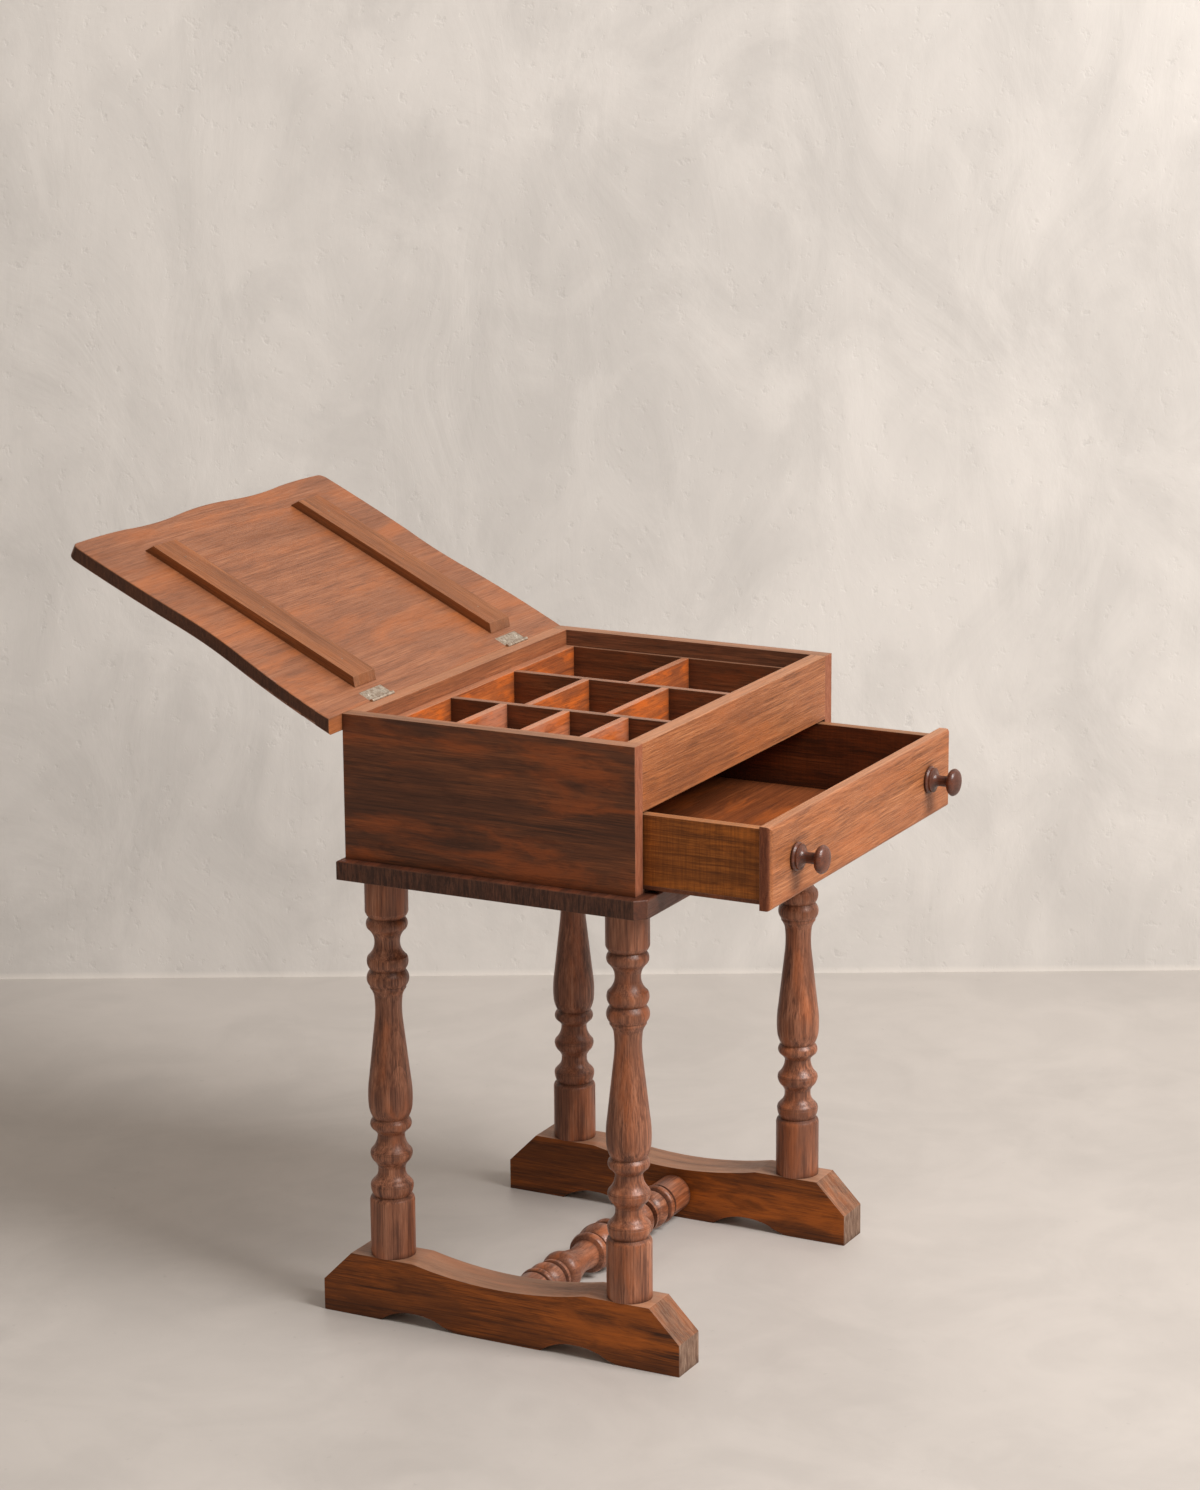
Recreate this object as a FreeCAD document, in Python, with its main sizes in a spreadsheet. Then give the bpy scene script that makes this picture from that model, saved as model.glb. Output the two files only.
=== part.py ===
import FreeCAD, Part
import math
import os
import Sketcher

# Sewing box: a shallow partitioned box with a serpentine lid and a drawer, on a stand with turned legs.
# Millimetres. +X is the right side, -Y the drawer side, +Z up, and the floor is at z = 0.
# The lid is shown open, resting back, and the drawer is shown pulled out part of the way.

doc = FreeCAD.newDocument("sewing_box")
sheet = doc.addObject("Spreadsheet::Sheet", "sizes")

DRIVING_SIZES = [
    # name, millimetres or degrees, what it is
    ("origin_side", -6.74, "origin, to the right of the middle of the stand"),
    ("origin_back", 67.32, "origin, behind the middle of the stand"),
    ("box_width", 450, "outside width of the box"),
    ("box_depth", 318, "outside depth of the box"),
    ("box_height", 146, "height of the box walls"),
    ("side_thick", 16, "side panels"),
    ("back_thick", 17, "back board"),
    ("rail_thick", 16.5, "front rail"),
    ("rail_height", 66.5, "front rail, above the drawer opening"),
    ("base_thick", 19, "base board"),
    ("base_side_ledge", 11.5, "base board beyond the side panels"),
    ("base_front_ledge", 13.6, "base board beyond the front"),
    ("base_back_ledge", 4, "base board beyond the back"),
    ("base_clip", 10, "front corners of the base board, cut off at 45 degrees"),
    ("base_round", 1.5, "rounded top edges of the base board"),
    ("floor_thick", 6, "floor of the compartments"),
    ("floor_housing", 4, "depth of the grooves that hold the floor"),
    ("cell_depth", 44, "dividers and liners, above the floor"),
    ("side_liner_thick", 3.6, "liners against the side panels"),
    ("back_liner_thick", 10.6, "liner against the back board"),
    ("front_liner_thick", 5, "liner against the front rail"),
    ("divider_thick", 8, "dividers"),
    ("left_divider_x", -56.2, "middle of the left long divider"),
    ("right_divider_x", 76.6, "middle of the right long divider"),
    ("left_cross_back_y", 71, "cross dividers of the left row"),
    ("left_cross_middle_y", 0.5, "cross dividers of the left row"),
    ("left_cross_front_y", -64.8, "cross dividers of the left row"),
    ("middle_cross_back_y", 48, "cross dividers of the middle row"),
    ("middle_cross_front_y", -42.8, "cross dividers of the middle row"),
    ("right_cross_y", -0.3, "cross divider of the right row"),
    ("drawer_front_thick", 12, "drawer front"),
    ("drawer_front_round", 5, "rounded edges of the drawer front"),
    ("drawer_lap_side", 7.5, "drawer front over each side panel"),
    ("drawer_lap_top", 2.3, "drawer front over the front rail"),
    ("drawer_front_gap", 0.3, "closed drawer front to the box front"),
    ("drawer_lift", 0.8, "drawer front above the base board"),
    ("drawer_side_thick", 11, "drawer sides"),
    ("drawer_side_gap", 1.5, "drawer side to side panel"),
    ("drawer_side_height", 69, "drawer sides"),
    ("drawer_length", 285, "drawer sides behind the front"),
    ("drawer_back_thick", 11, "drawer back"),
    ("drawer_back_height", 60, "drawer back"),
    ("drawer_bottom_thick", 4, "drawer bottom, nailed up under the sides"),
    ("drawer_pull", 124.4, "how far the drawer is shown pulled out"),
    ("runner_thick", 3.7, "runner strips"),
    ("runner_width", 20, "runner strips"),
    ("running_gap", 0.3, "drawer bottom above its runners"),
    ("knob_x", 161, "knobs to the middle of the drawer"),
    ("knob_radius", 14, "knob ball and base"),
    ("knob_base_thick", 6, "knob base"),
    ("knob_neck_radius", 5.5, "knob neck"),
    ("knob_neck_length", 14.5, "knob neck"),
    ("knob_quirk", 0.8, "small groove round the knob's base"),
    ("knob_cove", 7, "hollow between the knob's base and its neck, along the axis"),
    ("knob_cove_rise", 2, "hollow between the knob's base and its neck"),
    ("knob_tip_radius", 2, "flat tip of the knob"),
    ("knob_ball_thick", 13, "knob ball along its axis"),
    ("knob_turn_radius", 9.9, "where the knob's round rim meets its flatter faces"),
    ("knob_turn_depth", 1.9, "where the knob's round rim meets its flatter faces, from the end of the ball"),
    ("knob_rim_rise", 0.85, "round rim of the knob"),
    ("knob_face_rise", 0.4, "front face of the knob"),
    ("knob_tenon_radius", 5, "knob tenon"),
    ("lid_lean", 25.9, "open lid, degrees above level"),
    ("lid_shift", -4, "middle of the lid from the middle of the box"),
    ("lid_gap", 0.3, "closed lid above the rim"),
    ("lid_thick", 15, "lid board"),
    ("lid_over_front", 11, "lid in front of the closed box, midway between its swells and hollows"),
    ("lid_skew", 3.2, "front edge, further out at the left corner and less at the right"),
    ("lid_rear_left", 21, "lid beyond half the box width: left, at the hinges"),
    ("lid_rear_right", 5.5, "lid beyond half the box width: right, at the hinges"),
    ("lid_turn_left", 11.4, "lid beyond half the box width: left, where the side curve turns in"),
    ("lid_turn_right", 4, "lid beyond half the box width: right, where the side curve turns in"),
    ("lid_waist_left", 8.6, "lid beyond half the box width: left, where the side curve turns out"),
    ("lid_waist_right", 3.5, "lid beyond half the box width: right, where the side curve turns out"),
    ("lid_front_left", 11.9, "lid beyond half the box width: left, at the front corner"),
    ("lid_front_right", 4.5, "lid beyond half the box width: right, at the front corner"),
    ("lid_rear_turn", 118, "pin to where the side curve turns in"),
    ("lid_front_turn", 205, "pin to where the side curve turns out"),
    ("lid_corner", 9, "rounded front corner, along each edge"),
    ("lid_corner_rise", 2.6, "roundness of the front corner"),
    ("lid_wave", 96.5, "one swell or hollow of the front edge"),
    ("lid_wave_rise", 2.7, "height of a swell of the front edge"),
    ("lid_end_rise", 1, "height of the half swell beside each front corner"),
    ("lid_rear_rise", 2.6, "swell of the side at the hinges"),
    ("lid_waist_rise", 3.2, "hollow of the side"),
    ("lid_side_rise", 1.2, "swell of the side towards the front"),
    ("lid_top_round", 3.5, "rounded edge of the lid's upper face"),
    ("lid_under_round", 1.2, "rounded edge of the lid's inner face"),
    ("batten_inset", 86, "middles of the battens from the box sides"),
    ("batten_width", 41, "battens"),
    ("batten_thick", 9, "battens"),
    ("batten_front", 36, "front end of a batten to the front edge of the lid"),
    ("batten_start", 24, "pin to the rear end of a batten"),
    ("batten_slope", 6.5, "slanted ends of a batten"),
    ("hinge_inset", 86, "middles of the hinges from the box sides"),
    ("hinge_shift", -5, "middle of the two hinges from the middle of the lid"),
    ("hinge_length", 42, "hinge along its pin"),
    ("leaf_width", 16, "pin to the edge of a leaf"),
    ("leaf_thick", 1.6, "hinge leaves"),
    ("leaf_fit", 0.1, "leaf in its recess"),
    ("barrel_radius", 2.2, "hinge knuckles"),
    ("barrel_gap", 0.3, "round and between the knuckles"),
    ("pin_radius", 1, "hinge pins"),
    ("pin_fit", 0.05, "hinge pin in its bore"),
    ("stop_gap", 0.3, "open lid's rear edge to the back board"),
    ("bevel_spare", 6, "bevel's cut past the lid's faces"),
    ("leg_inset_x", 28.6, "leg axis inside the side panel's face"),
    ("leg_inset_y", 25.8, "leg axis inside the front and back faces"),
    ("leg_shift", 2.6, "leg axes, nearer the front than evenly spaced"),
    ("leg_height", 395.5, "leg between its tenons"),
    ("leg_tenon_radius", 11, "leg tenons"),
    ("leg_top_tenon", 14, "leg tenon in the base board"),
    ("leg_foot_tenon", 30, "leg tenon in the foot"),
    ("peg_fit", 0.1, "round tenon in its hole"),
    ("leg_block", 55.5, "leg turnings upwards: plain foot block"),
    ("leg_block_radius", 22.6, "foot block"),
    ("leg_rim", 5, "eased rim of the foot block"),
    ("leg_rim_radius", 21.6, "eased rim of the foot block"),
    ("leg_rim_rise", 0.4, "eased rim of the foot block"),
    ("leg_groove", 2, "slope of a groove between turnings"),
    ("leg_groove_radius", 18.8, "groove over the foot block"),
    ("leg_low_belly", 9.5, "belly of the lower bell"),
    ("leg_low_belly_rise", 0.6, "belly of the lower bell"),
    ("leg_low_bell_radius", 21.6, "lower bell"),
    ("leg_band", 1.5, "plain band round a bell"),
    ("leg_line", 0.4, "one slope of a line cut round a bell"),
    ("leg_line_depth", 0.5, "lines cut round a bell"),
    ("leg_line_step", 1, "between the two lines of a bell"),
    ("leg_line_fall", 0.4, "bell thinner after each line"),
    ("leg_low_shoulder", 2.4, "shoulder of the lower bell"),
    ("leg_shoulder_radius", 18.7, "shoulders of the two bells"),
    ("leg_low_cove", 9, "hollow above the lower bell"),
    ("leg_low_cove_rise", 1, "hollow above the lower bell"),
    ("leg_low_neck", 4.5, "neck between the two bells"),
    ("leg_neck_radius", 13.7, "necks above the two bells"),
    ("leg_bell_cove", 7.6, "hollow under the upper bell"),
    ("leg_bell_cove_rise", 0.6, "hollow under the upper bell"),
    ("leg_bell_belly", 6.5, "belly of the upper bell"),
    ("leg_bell_belly_rise", 0.45, "belly of the upper bell"),
    ("leg_bell_radius", 21.2, "upper bell"),
    ("leg_bell_taper", 14, "hollow taper above the upper bell"),
    ("leg_bell_taper_rise", 1.35, "hollow taper above the upper bell"),
    ("leg_ring_neck", 3.2, "neck under the ring"),
    ("leg_ring_flare", 6, "flare under the ring"),
    ("leg_ring_flare_rise", 0.3, "flare under the ring"),
    ("leg_ring", 8.4, "ring under the vase"),
    ("leg_ring_radius", 19.4, "ring under the vase, at its edges"),
    ("leg_ring_rise", 1.4, "ring under the vase"),
    ("leg_vase_foot_radius", 17.7, "lower end of the vase"),
    ("leg_vase_foot", 12, "round foot of the vase"),
    ("leg_vase_foot_rise", 0.6, "round foot of the vase"),
    ("leg_vase_radius", 21.8, "vase over its foot"),
    ("leg_vase", 30.4, "vase"),
    ("leg_vase_rise", 0.95, "vase"),
    ("leg_vase_shoulder_radius", 20.8, "upper end of the vase"),
    ("leg_taper", 61, "long taper above the vase"),
    ("leg_taper_radius", 13.9, "upper end of the taper"),
    ("leg_waist", 24, "waist"),
    ("leg_waist_radius", 14.2, "upper end of the waist"),
    ("leg_waist_rise", 0.65, "waist"),
    ("leg_flare", 8, "flare under the collar"),
    ("leg_flare_rise", 0.5, "flare under the collar"),
    ("leg_collar_radius", 18.1, "collar"),
    ("leg_collar", 3, "collar"),
    ("leg_torus", 13.8, "large ring above the collar"),
    ("leg_torus_radius", 18.8, "large ring, at its edges"),
    ("leg_torus_rise", 2.4, "large ring"),
    ("leg_quirk_radius", 17.4, "groove above the large ring"),
    ("leg_high_bulge", 13.4, "upper bulge"),
    ("leg_high_bulge_radius", 19.8, "upper end of the upper bulge"),
    ("leg_high_bulge_rise", 2, "upper bulge"),
    ("leg_high_cove", 10, "hollow above the upper bulge"),
    ("leg_high_cove_rise", 0.9, "hollow above the upper bulge"),
    ("leg_high_neck", 9.8, "upper neck"),
    ("leg_high_neck_radius", 13.3, "both ends of the upper neck"),
    ("leg_high_neck_rise", 0.6, "upper neck"),
    ("leg_bead_flare", 9.1, "flare under the top bead"),
    ("leg_bead_flare_rise", 0.75, "flare under the top bead"),
    ("leg_bead", 9.5, "top bead"),
    ("leg_bead_radius", 19.3, "top bead, at its edges"),
    ("leg_bead_rise", 1.5, "top bead"),
    ("leg_head_groove_radius", 17.9, "groove under the head block"),
    ("leg_head_rim", 6, "eased rim of the head block"),
    ("leg_head_rim_rise", 0.5, "eased rim of the head block"),
    ("leg_head_radius", 21.6, "plain head block"),
    ("bar_bead_half", 14, "stretcher turnings outwards: half the middle bead"),
    ("bar_bead_radius", 19, "middle bead, at its edges"),
    ("bar_bead_rise", 4.5, "middle bead"),
    ("bar_groove", 2, "slope of a groove between turnings"),
    ("bar_groove_radius", 15.5, "grooves"),
    ("bar_ring", 9, "rings beside the middle bead"),
    ("bar_ring_radius", 20, "rings, at their edges"),
    ("bar_ring_rise", 1.6, "rings"),
    ("bar_waist", 16, "waist"),
    ("bar_waist_radius", 13.5, "waist"),
    ("bar_vase", 33, "vase, from its waist to its shoulder"),
    ("bar_vase_radius", 20.8, "shoulder of the vase"),
    ("bar_vase_rise", 1.2, "hollow of the vase's taper"),
    ("bar_shoulder", 15, "round end of the vase"),
    ("bar_shoulder_rise", 4.5, "round end of the vase"),
    ("bar_neck", 5, "neck"),
    ("bar_neck_radius", 12, "neck"),
    ("bar_fillet", 4, "thin ring"),
    ("bar_fillet_radius", 19, "thin ring"),
    ("bar_bulge", 24, "outer bulge"),
    ("bar_bulge_rise", 5.5, "outer bulge"),
    ("bar_outer_ring", 7, "outer ring"),
    ("bar_collar_radius", 20, "plain collar at the foot"),
    ("foot_width", 43, "feet"),
    ("foot_height", 65.5, "feet"),
    ("foot_reach", 66.8, "foot beyond the leg axis"),
    ("foot_end_height", 32.8, "foot below its sloped end"),
    ("foot_slope", 32.4, "sloped end of a foot"),
    ("foot_hollow", 193, "hollow in the top of a foot"),
    ("foot_hollow_depth", 10.5, "hollow in the top of a foot"),
    ("arch_length", 91, "arches under a foot"),
    ("arch_back", 65.5, "back arch from the back end of the foot"),
    ("arch_front", 62, "front arch from the front end of the foot"),
    ("arch_crown", 38, "back end of an arch to its crown"),
    ("arch_rise", 12.3, "crown of an arch"),
    ("arch_turn", 66, "back end of an arch to where its curve turns"),
    ("arch_turn_rise", 7.5, "height where its curve turns"),
    ("arch_front_swell", 1.6, "swell of the foot at the front end of an arch"),
    ("arch_front_hollow", 1.3, "hollow in front of the crown"),
    ("arch_back_hollow", 3.6, "hollow behind the crown"),
    ("stretcher_height", 27, "stretcher axis above the floor"),
    ("stretcher_tenon_radius", 8, "stretcher tenons"),
    ("stretcher_tenon", 20, "stretcher tenons"),
    ("screw_head_radius", 2.6, "hinge screws"),
    ("screw_head_height", 1.3, "hinge screws"),
    ("screw_radius", 1.3, "hinge screws"),
    ("screw_length", 10, "hinge screws"),
    ("screw_spacing", 25, "hinge screws"),
    ("screw_line", 8, "pin to the screws of a leaf"),
    ("screw_fit", 0.05, "screws and nails in their holes"),
    ("base_screw_radius", 2.2, "screws up into the side panels"),
    ("base_screw_head", 4.4, "screws up into the side panels"),
    ("base_screw_length", 38, "screws up into the side panels"),
    ("base_screw_spacing", 92, "screws up into the side panels"),
    ("nail_radius", 0.9, "nails"),
    ("batten_nail_length", 18, "nails through the battens"),
    ("batten_nail_inset", 34, "outer batten nails from the batten's ends"),
    ("drawer_nail_length", 16, "nails through the drawer bottom"),
    ("drawer_nail_spacing", 80, "nails through the drawer bottom"),
]

for row, (name, number, meaning) in enumerate(DRIVING_SIZES, start=1):
    sheet.set(f"A{row}", meaning)
    sheet.set(f"B{row}", str(number))
    sheet.setAlias(f"B{row}", name)
doc.recompute()


class Size:
    """A length together with the formula that gives it, so that a drawing starts right and stays bound."""

    def __init__(self, value, text):
        self.value = float(value)
        self.text = text

    def __add__(self, other):
        other = as_size(other)
        return Size(self.value + other.value, f"({self.text} + {other.text})")

    def __sub__(self, other):
        other = as_size(other)
        return Size(self.value - other.value, f"({self.text} - {other.text})")

    def __mul__(self, other):
        other = as_size(other)
        return Size(self.value * other.value, f"({self.text} * {other.text})")

    def __truediv__(self, other):
        other = as_size(other)
        return Size(self.value / other.value, f"({self.text} / {other.text})")

    def __neg__(self):
        return Size(-self.value, f"(0 - {self.text})")


def as_size(number):
    return number if isinstance(number, Size) else Size(number, repr(float(number)))


def sine(size):
    return Size(math.sin(math.radians(size.value)), f"sin({size.text})")


def cosine(size):
    return Size(math.cos(math.radians(size.value)), f"cos({size.text})")


class Sizes:
    """The driving sizes by name, such as size.box_width."""


size = Sizes()
for name, number, meaning in DRIVING_SIZES:
    setattr(size, name, Size(number, f"sizes.{name}"))

ZERO = as_size(0)
LEFT, RIGHT = -1, 1
FRONT, BACK = -1, 1
SIDES = ((LEFT, "left"), (RIGHT, "right"))
ENDS = ((FRONT, "front"), (BACK, "back"))

# Planes and lines that several pieces share
mid_x = -size.origin_side
mid_y = -size.origin_back
base_under = size.foot_height + size.leg_height
base_top = base_under + size.base_thick
rim = base_top + size.box_height
front_face = mid_y - size.box_depth / 2
back_face = mid_y + size.box_depth / 2
side_inner = size.box_width / 2 - size.side_thick
back_inner = back_face - size.back_thick
rail_inner = front_face + size.rail_thick
rail_under = rim - size.rail_height
floor_top = rail_under + size.floor_thick
pin_y = back_face + size.lid_gap / 2
pin_z = rim + size.lid_gap / 2
lid_x = mid_x + size.lid_shift
lid_inner = -(size.lid_gap / 2)
lid_depth = size.box_depth + size.lid_over_front
hinge_spacing = size.box_width - size.hinge_inset * 2
batten_spacing = size.box_width - size.batten_inset * 2
batten_length = lid_depth - size.batten_start - size.batten_front
leg_x = size.box_width / 2 - size.leg_inset_x
leg_y = size.box_depth / 2 - size.leg_inset_y
leg_mid_y = mid_y - size.leg_shift

nodes = []


def node(part, name):
    """A finished piece: its label names its file."""
    part.Label = name
    nodes.append(part)
    return part


def bind(part, prop, formula):
    part.setExpression(prop, as_size(formula).text)


def place(part, x=ZERO, y=ZERO, z=ZERO, axis=None, angle=ZERO):
    """Puts a piece at a point, turned about an axis by an angle in degrees."""
    if axis is not None:
        part.Placement = FreeCAD.Placement(FreeCAD.Vector(0, 0, 0), FreeCAD.Rotation(axis, angle.value))
        bind(part, "Placement.Rotation.Angle", angle)
    for name, formula in (("x", x), ("y", y), ("z", z)):
        bind(part, f"Placement.Base.{name}", formula)
    return part


def board(name, x, y, z):
    """A plain board between three pairs of planes."""
    box = doc.addObject("Part::Box", name)
    for side, (low, high) in (("Length", x), ("Width", y), ("Height", z)):
        bind(box, side, as_size(high) - low)
    return place(box, as_size(x[0]), as_size(y[0]), as_size(z[0]))


def rod(name, radius, length):
    """A round rod that rises from its own origin."""
    rod_part = doc.addObject("Part::Cylinder", name)
    bind(rod_part, "Radius", radius)
    bind(rod_part, "Height", length)
    return rod_part


def cut(name, base, tools):
    """The base without the tools."""
    for count, tool in enumerate(tools, start=1):
        label = name if count == len(tools) else f"{name}_cut_{count}"
        result = doc.addObject("Part::Cut", label)
        result.Base = base
        result.Tool = tool
        base = result
    return base


def fuse(name, parts):
    """One solid from parts that overlap."""
    result = doc.addObject("Part::MultiFuse", name)
    result.Shapes = parts
    result.Refine = True
    return result


def group(name, parts):
    """Separate solids that share one node."""
    result = doc.addObject("Part::Compound", name)
    result.Links = parts
    return result


def plane_of(body, role):
    return next(feature for feature in body.Origin.OriginFeatures if feature.Role == role)


def new_sketch(body, role, name):
    sketch = body.newObject("Sketcher::SketchObject", name)
    sketch.AttachmentSupport = (plane_of(body, role), [""])
    sketch.MapMode = "FlatFace"
    return sketch


def draw(sketch, points, rises=None):
    """A closed outline through points; rises gives the arc of a side, outward when it is positive.

    The points go round anticlockwise. rises maps the index of a side's first point to the arc's height.
    """
    rises = rises or {}
    count = len(points)
    vectors = [FreeCAD.Vector(x.value, y.value, 0) for x, y in points]
    for index in range(count):
        start, end = vectors[index], vectors[(index + 1) % count]
        if index in rises:
            along = end - start
            outward = FreeCAD.Vector(along.y, -along.x, 0).normalize()
            crown = (start + end) * 0.5 + outward * rises[index].value
            sketch.addGeometry(Part.Arc(start, crown, end), False)
        else:
            sketch.addGeometry(Part.LineSegment(start, end), False)
    # An arc is kept anticlockwise, so a hollow side starts at its second point
    first = [2 if index in rises and rises[index].value < 0 else 1 for index in range(count)]
    for index in range(count):
        following = (index + 1) % count
        sketch.addConstraint(
            Sketcher.Constraint("Coincident", index, 3 - first[index], following, first[following]))
    for index, (x, y) in enumerate(points):
        for axis, formula in (("X", x), ("Y", y)):
            number = sketch.addConstraint(
                Sketcher.Constraint(f"Distance{axis}", -1, 1, index, first[index], formula.value))
            hold(sketch, number, f"{axis.lower()}_{index}", formula)
    for index, rise in rises.items():
        x_step = points[(index + 1) % count][0] - points[index][0]
        y_step = points[(index + 1) % count][1] - points[index][1]
        chord_square = x_step * x_step + y_step * y_step
        height = rise if rise.value > 0 else -rise
        radius = (chord_square / 4 + height * height) / (height * 2)
        number = sketch.addConstraint(Sketcher.Constraint("Radius", index, radius.value))
        hold(sketch, number, f"radius_{index}", radius)


def hold(sketch, number, name, formula):
    """Names a dimension of a sketch and ties it to its formula."""
    sketch.renameConstraint(number, name)
    sketch.setExpression(f"Constraints.{name}", formula.text)


def rectangle(x, y):
    return [(x[0], y[0]), (x[1], y[0]), (x[1], y[1]), (x[0], y[1])]


def pad(body, sketch, name, length, midplane=False):
    feature = body.newObject("PartDesign::Pad", name)
    feature.Profile = sketch
    feature.Midplane = midplane
    bind(feature, "Length", length)
    return feature


def turn(body, sketch, name):
    """A turned piece: the sketch's outline spun about its upright axis."""
    feature = body.newObject("PartDesign::Revolution", name)
    feature.Profile = sketch
    feature.ReferenceAxis = (sketch, ["V_Axis"])
    feature.Angle = 360
    return feature


def round_edges(body, feature, name, radius, wanted):
    """Rounds the edges of a feature that the test wants, found by their places."""
    doc.recompute()
    names = [f"Edge{number}" for number, edge in enumerate(feature.Shape.Edges, start=1) if wanted(edge)]
    fillet = body.newObject("PartDesign::Fillet", name)
    fillet.Base = (feature, names)
    bind(fillet, "Radius", radius)
    return fillet


# The stand

def foot_arch(start):
    """Points and arc heights of one arch, from its front end at the floor to its back end."""
    back_end = start + size.arch_length
    points = [
        (start, ZERO),
        (back_end - size.arch_turn, size.arch_turn_rise),
        (back_end - size.arch_crown, size.arch_rise),
        (back_end, ZERO),
    ]
    return points, (size.arch_front_swell, -size.arch_front_hollow, -size.arch_back_hollow)


def make_foot(side, side_name):
    """A foot with sloped ends, a hollow in its top and two arches under it."""
    name = f"{side_name}_foot"
    body = doc.addObject("PartDesign::Body", f"{name}_blank")
    sketch = new_sketch(body, "YZ_Plane", f"{name}_outline")
    half = leg_y + size.foot_reach
    hollow = size.foot_hollow / 2
    front_arch, arch_rises = foot_arch(size.arch_front - half)
    back_arch, arch_rises = foot_arch(half - size.arch_back - size.arch_length)
    points = [(-half, ZERO)] + front_arch + back_arch + [
        (half, ZERO),
        (half, size.foot_end_height),
        (half - size.foot_slope, size.foot_height),
        (hollow, size.foot_height),
        (-hollow, size.foot_height),
        (size.foot_slope - half, size.foot_height),
        (-half, size.foot_end_height),
    ]
    rises = {}
    for first in (1, 1 + len(front_arch)):
        for step, rise in enumerate(arch_rises):
            rises[first + step] = rise
    rises[len(points) - 4] = -size.foot_hollow_depth
    draw(sketch, points, rises)
    pad(body, sketch, f"{name}_pad", size.foot_width, midplane=True)
    place(body, mid_x + leg_x * side, mid_y)
    sockets = []
    for end, end_name in ENDS:
        socket = rod(f"{name}_{end_name}_socket", size.leg_tenon_radius + size.peg_fit,
                     size.leg_foot_tenon + size.peg_fit)
        place(socket, mid_x + leg_x * side, leg_mid_y + leg_y * end,
              size.foot_height - size.leg_foot_tenon - size.peg_fit)
        sockets.append(socket)
    bar_socket = rod(f"{name}_bar_socket", size.stretcher_tenon_radius + size.peg_fit,
                     size.stretcher_tenon + size.peg_fit)
    inner = mid_x + (leg_x - size.foot_width / 2) * side
    place(bar_socket, inner, mid_y, size.stretcher_height, FreeCAD.Vector(0, 1, 0), as_size(90 * side))
    node(cut(name, body, sockets + [bar_socket]), name)


def turned(name, stations):
    """A turned piece from stations: radius, height, and the swell of the outline up to the next one."""
    body = doc.addObject("PartDesign::Body", name)
    sketch = new_sketch(body, "XZ_Plane", f"{name}_outline")
    points = [(ZERO, stations[0][1])]
    points += [(radius, height) for radius, height, rise in stations]
    points += [(ZERO, stations[-1][1])]
    rises = {index: as_size(rise) for index, (radius, height, rise) in enumerate(stations, start=1)
             if rise is not None}
    draw(sketch, points, rises)
    turn(body, sketch, f"{name}_turning")
    return body


def stack(start, turnings):
    """Stations from turnings laid end to end: length, radius at its far end, swell."""
    stations = []
    radius, height = start
    for length, end_radius, rise in turnings:
        stations.append((radius, height, rise))
        radius, height = end_radius, height + length
    stations.append((radius, height, None))
    return stations


def cut_lines(radius):
    """A plain band round a bell and the two lines cut above it, each leaving the bell a little thinner."""
    line, depth, fall = size.leg_line, size.leg_line_depth, size.leg_line_fall
    return [
        (size.leg_band, radius, None),
        (line, radius - depth, None),
        (line, radius - fall, None),
        (size.leg_line_step, radius - fall, None),
        (line, radius - fall - depth, None),
        (line, radius - fall * 2, None),
    ]


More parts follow.
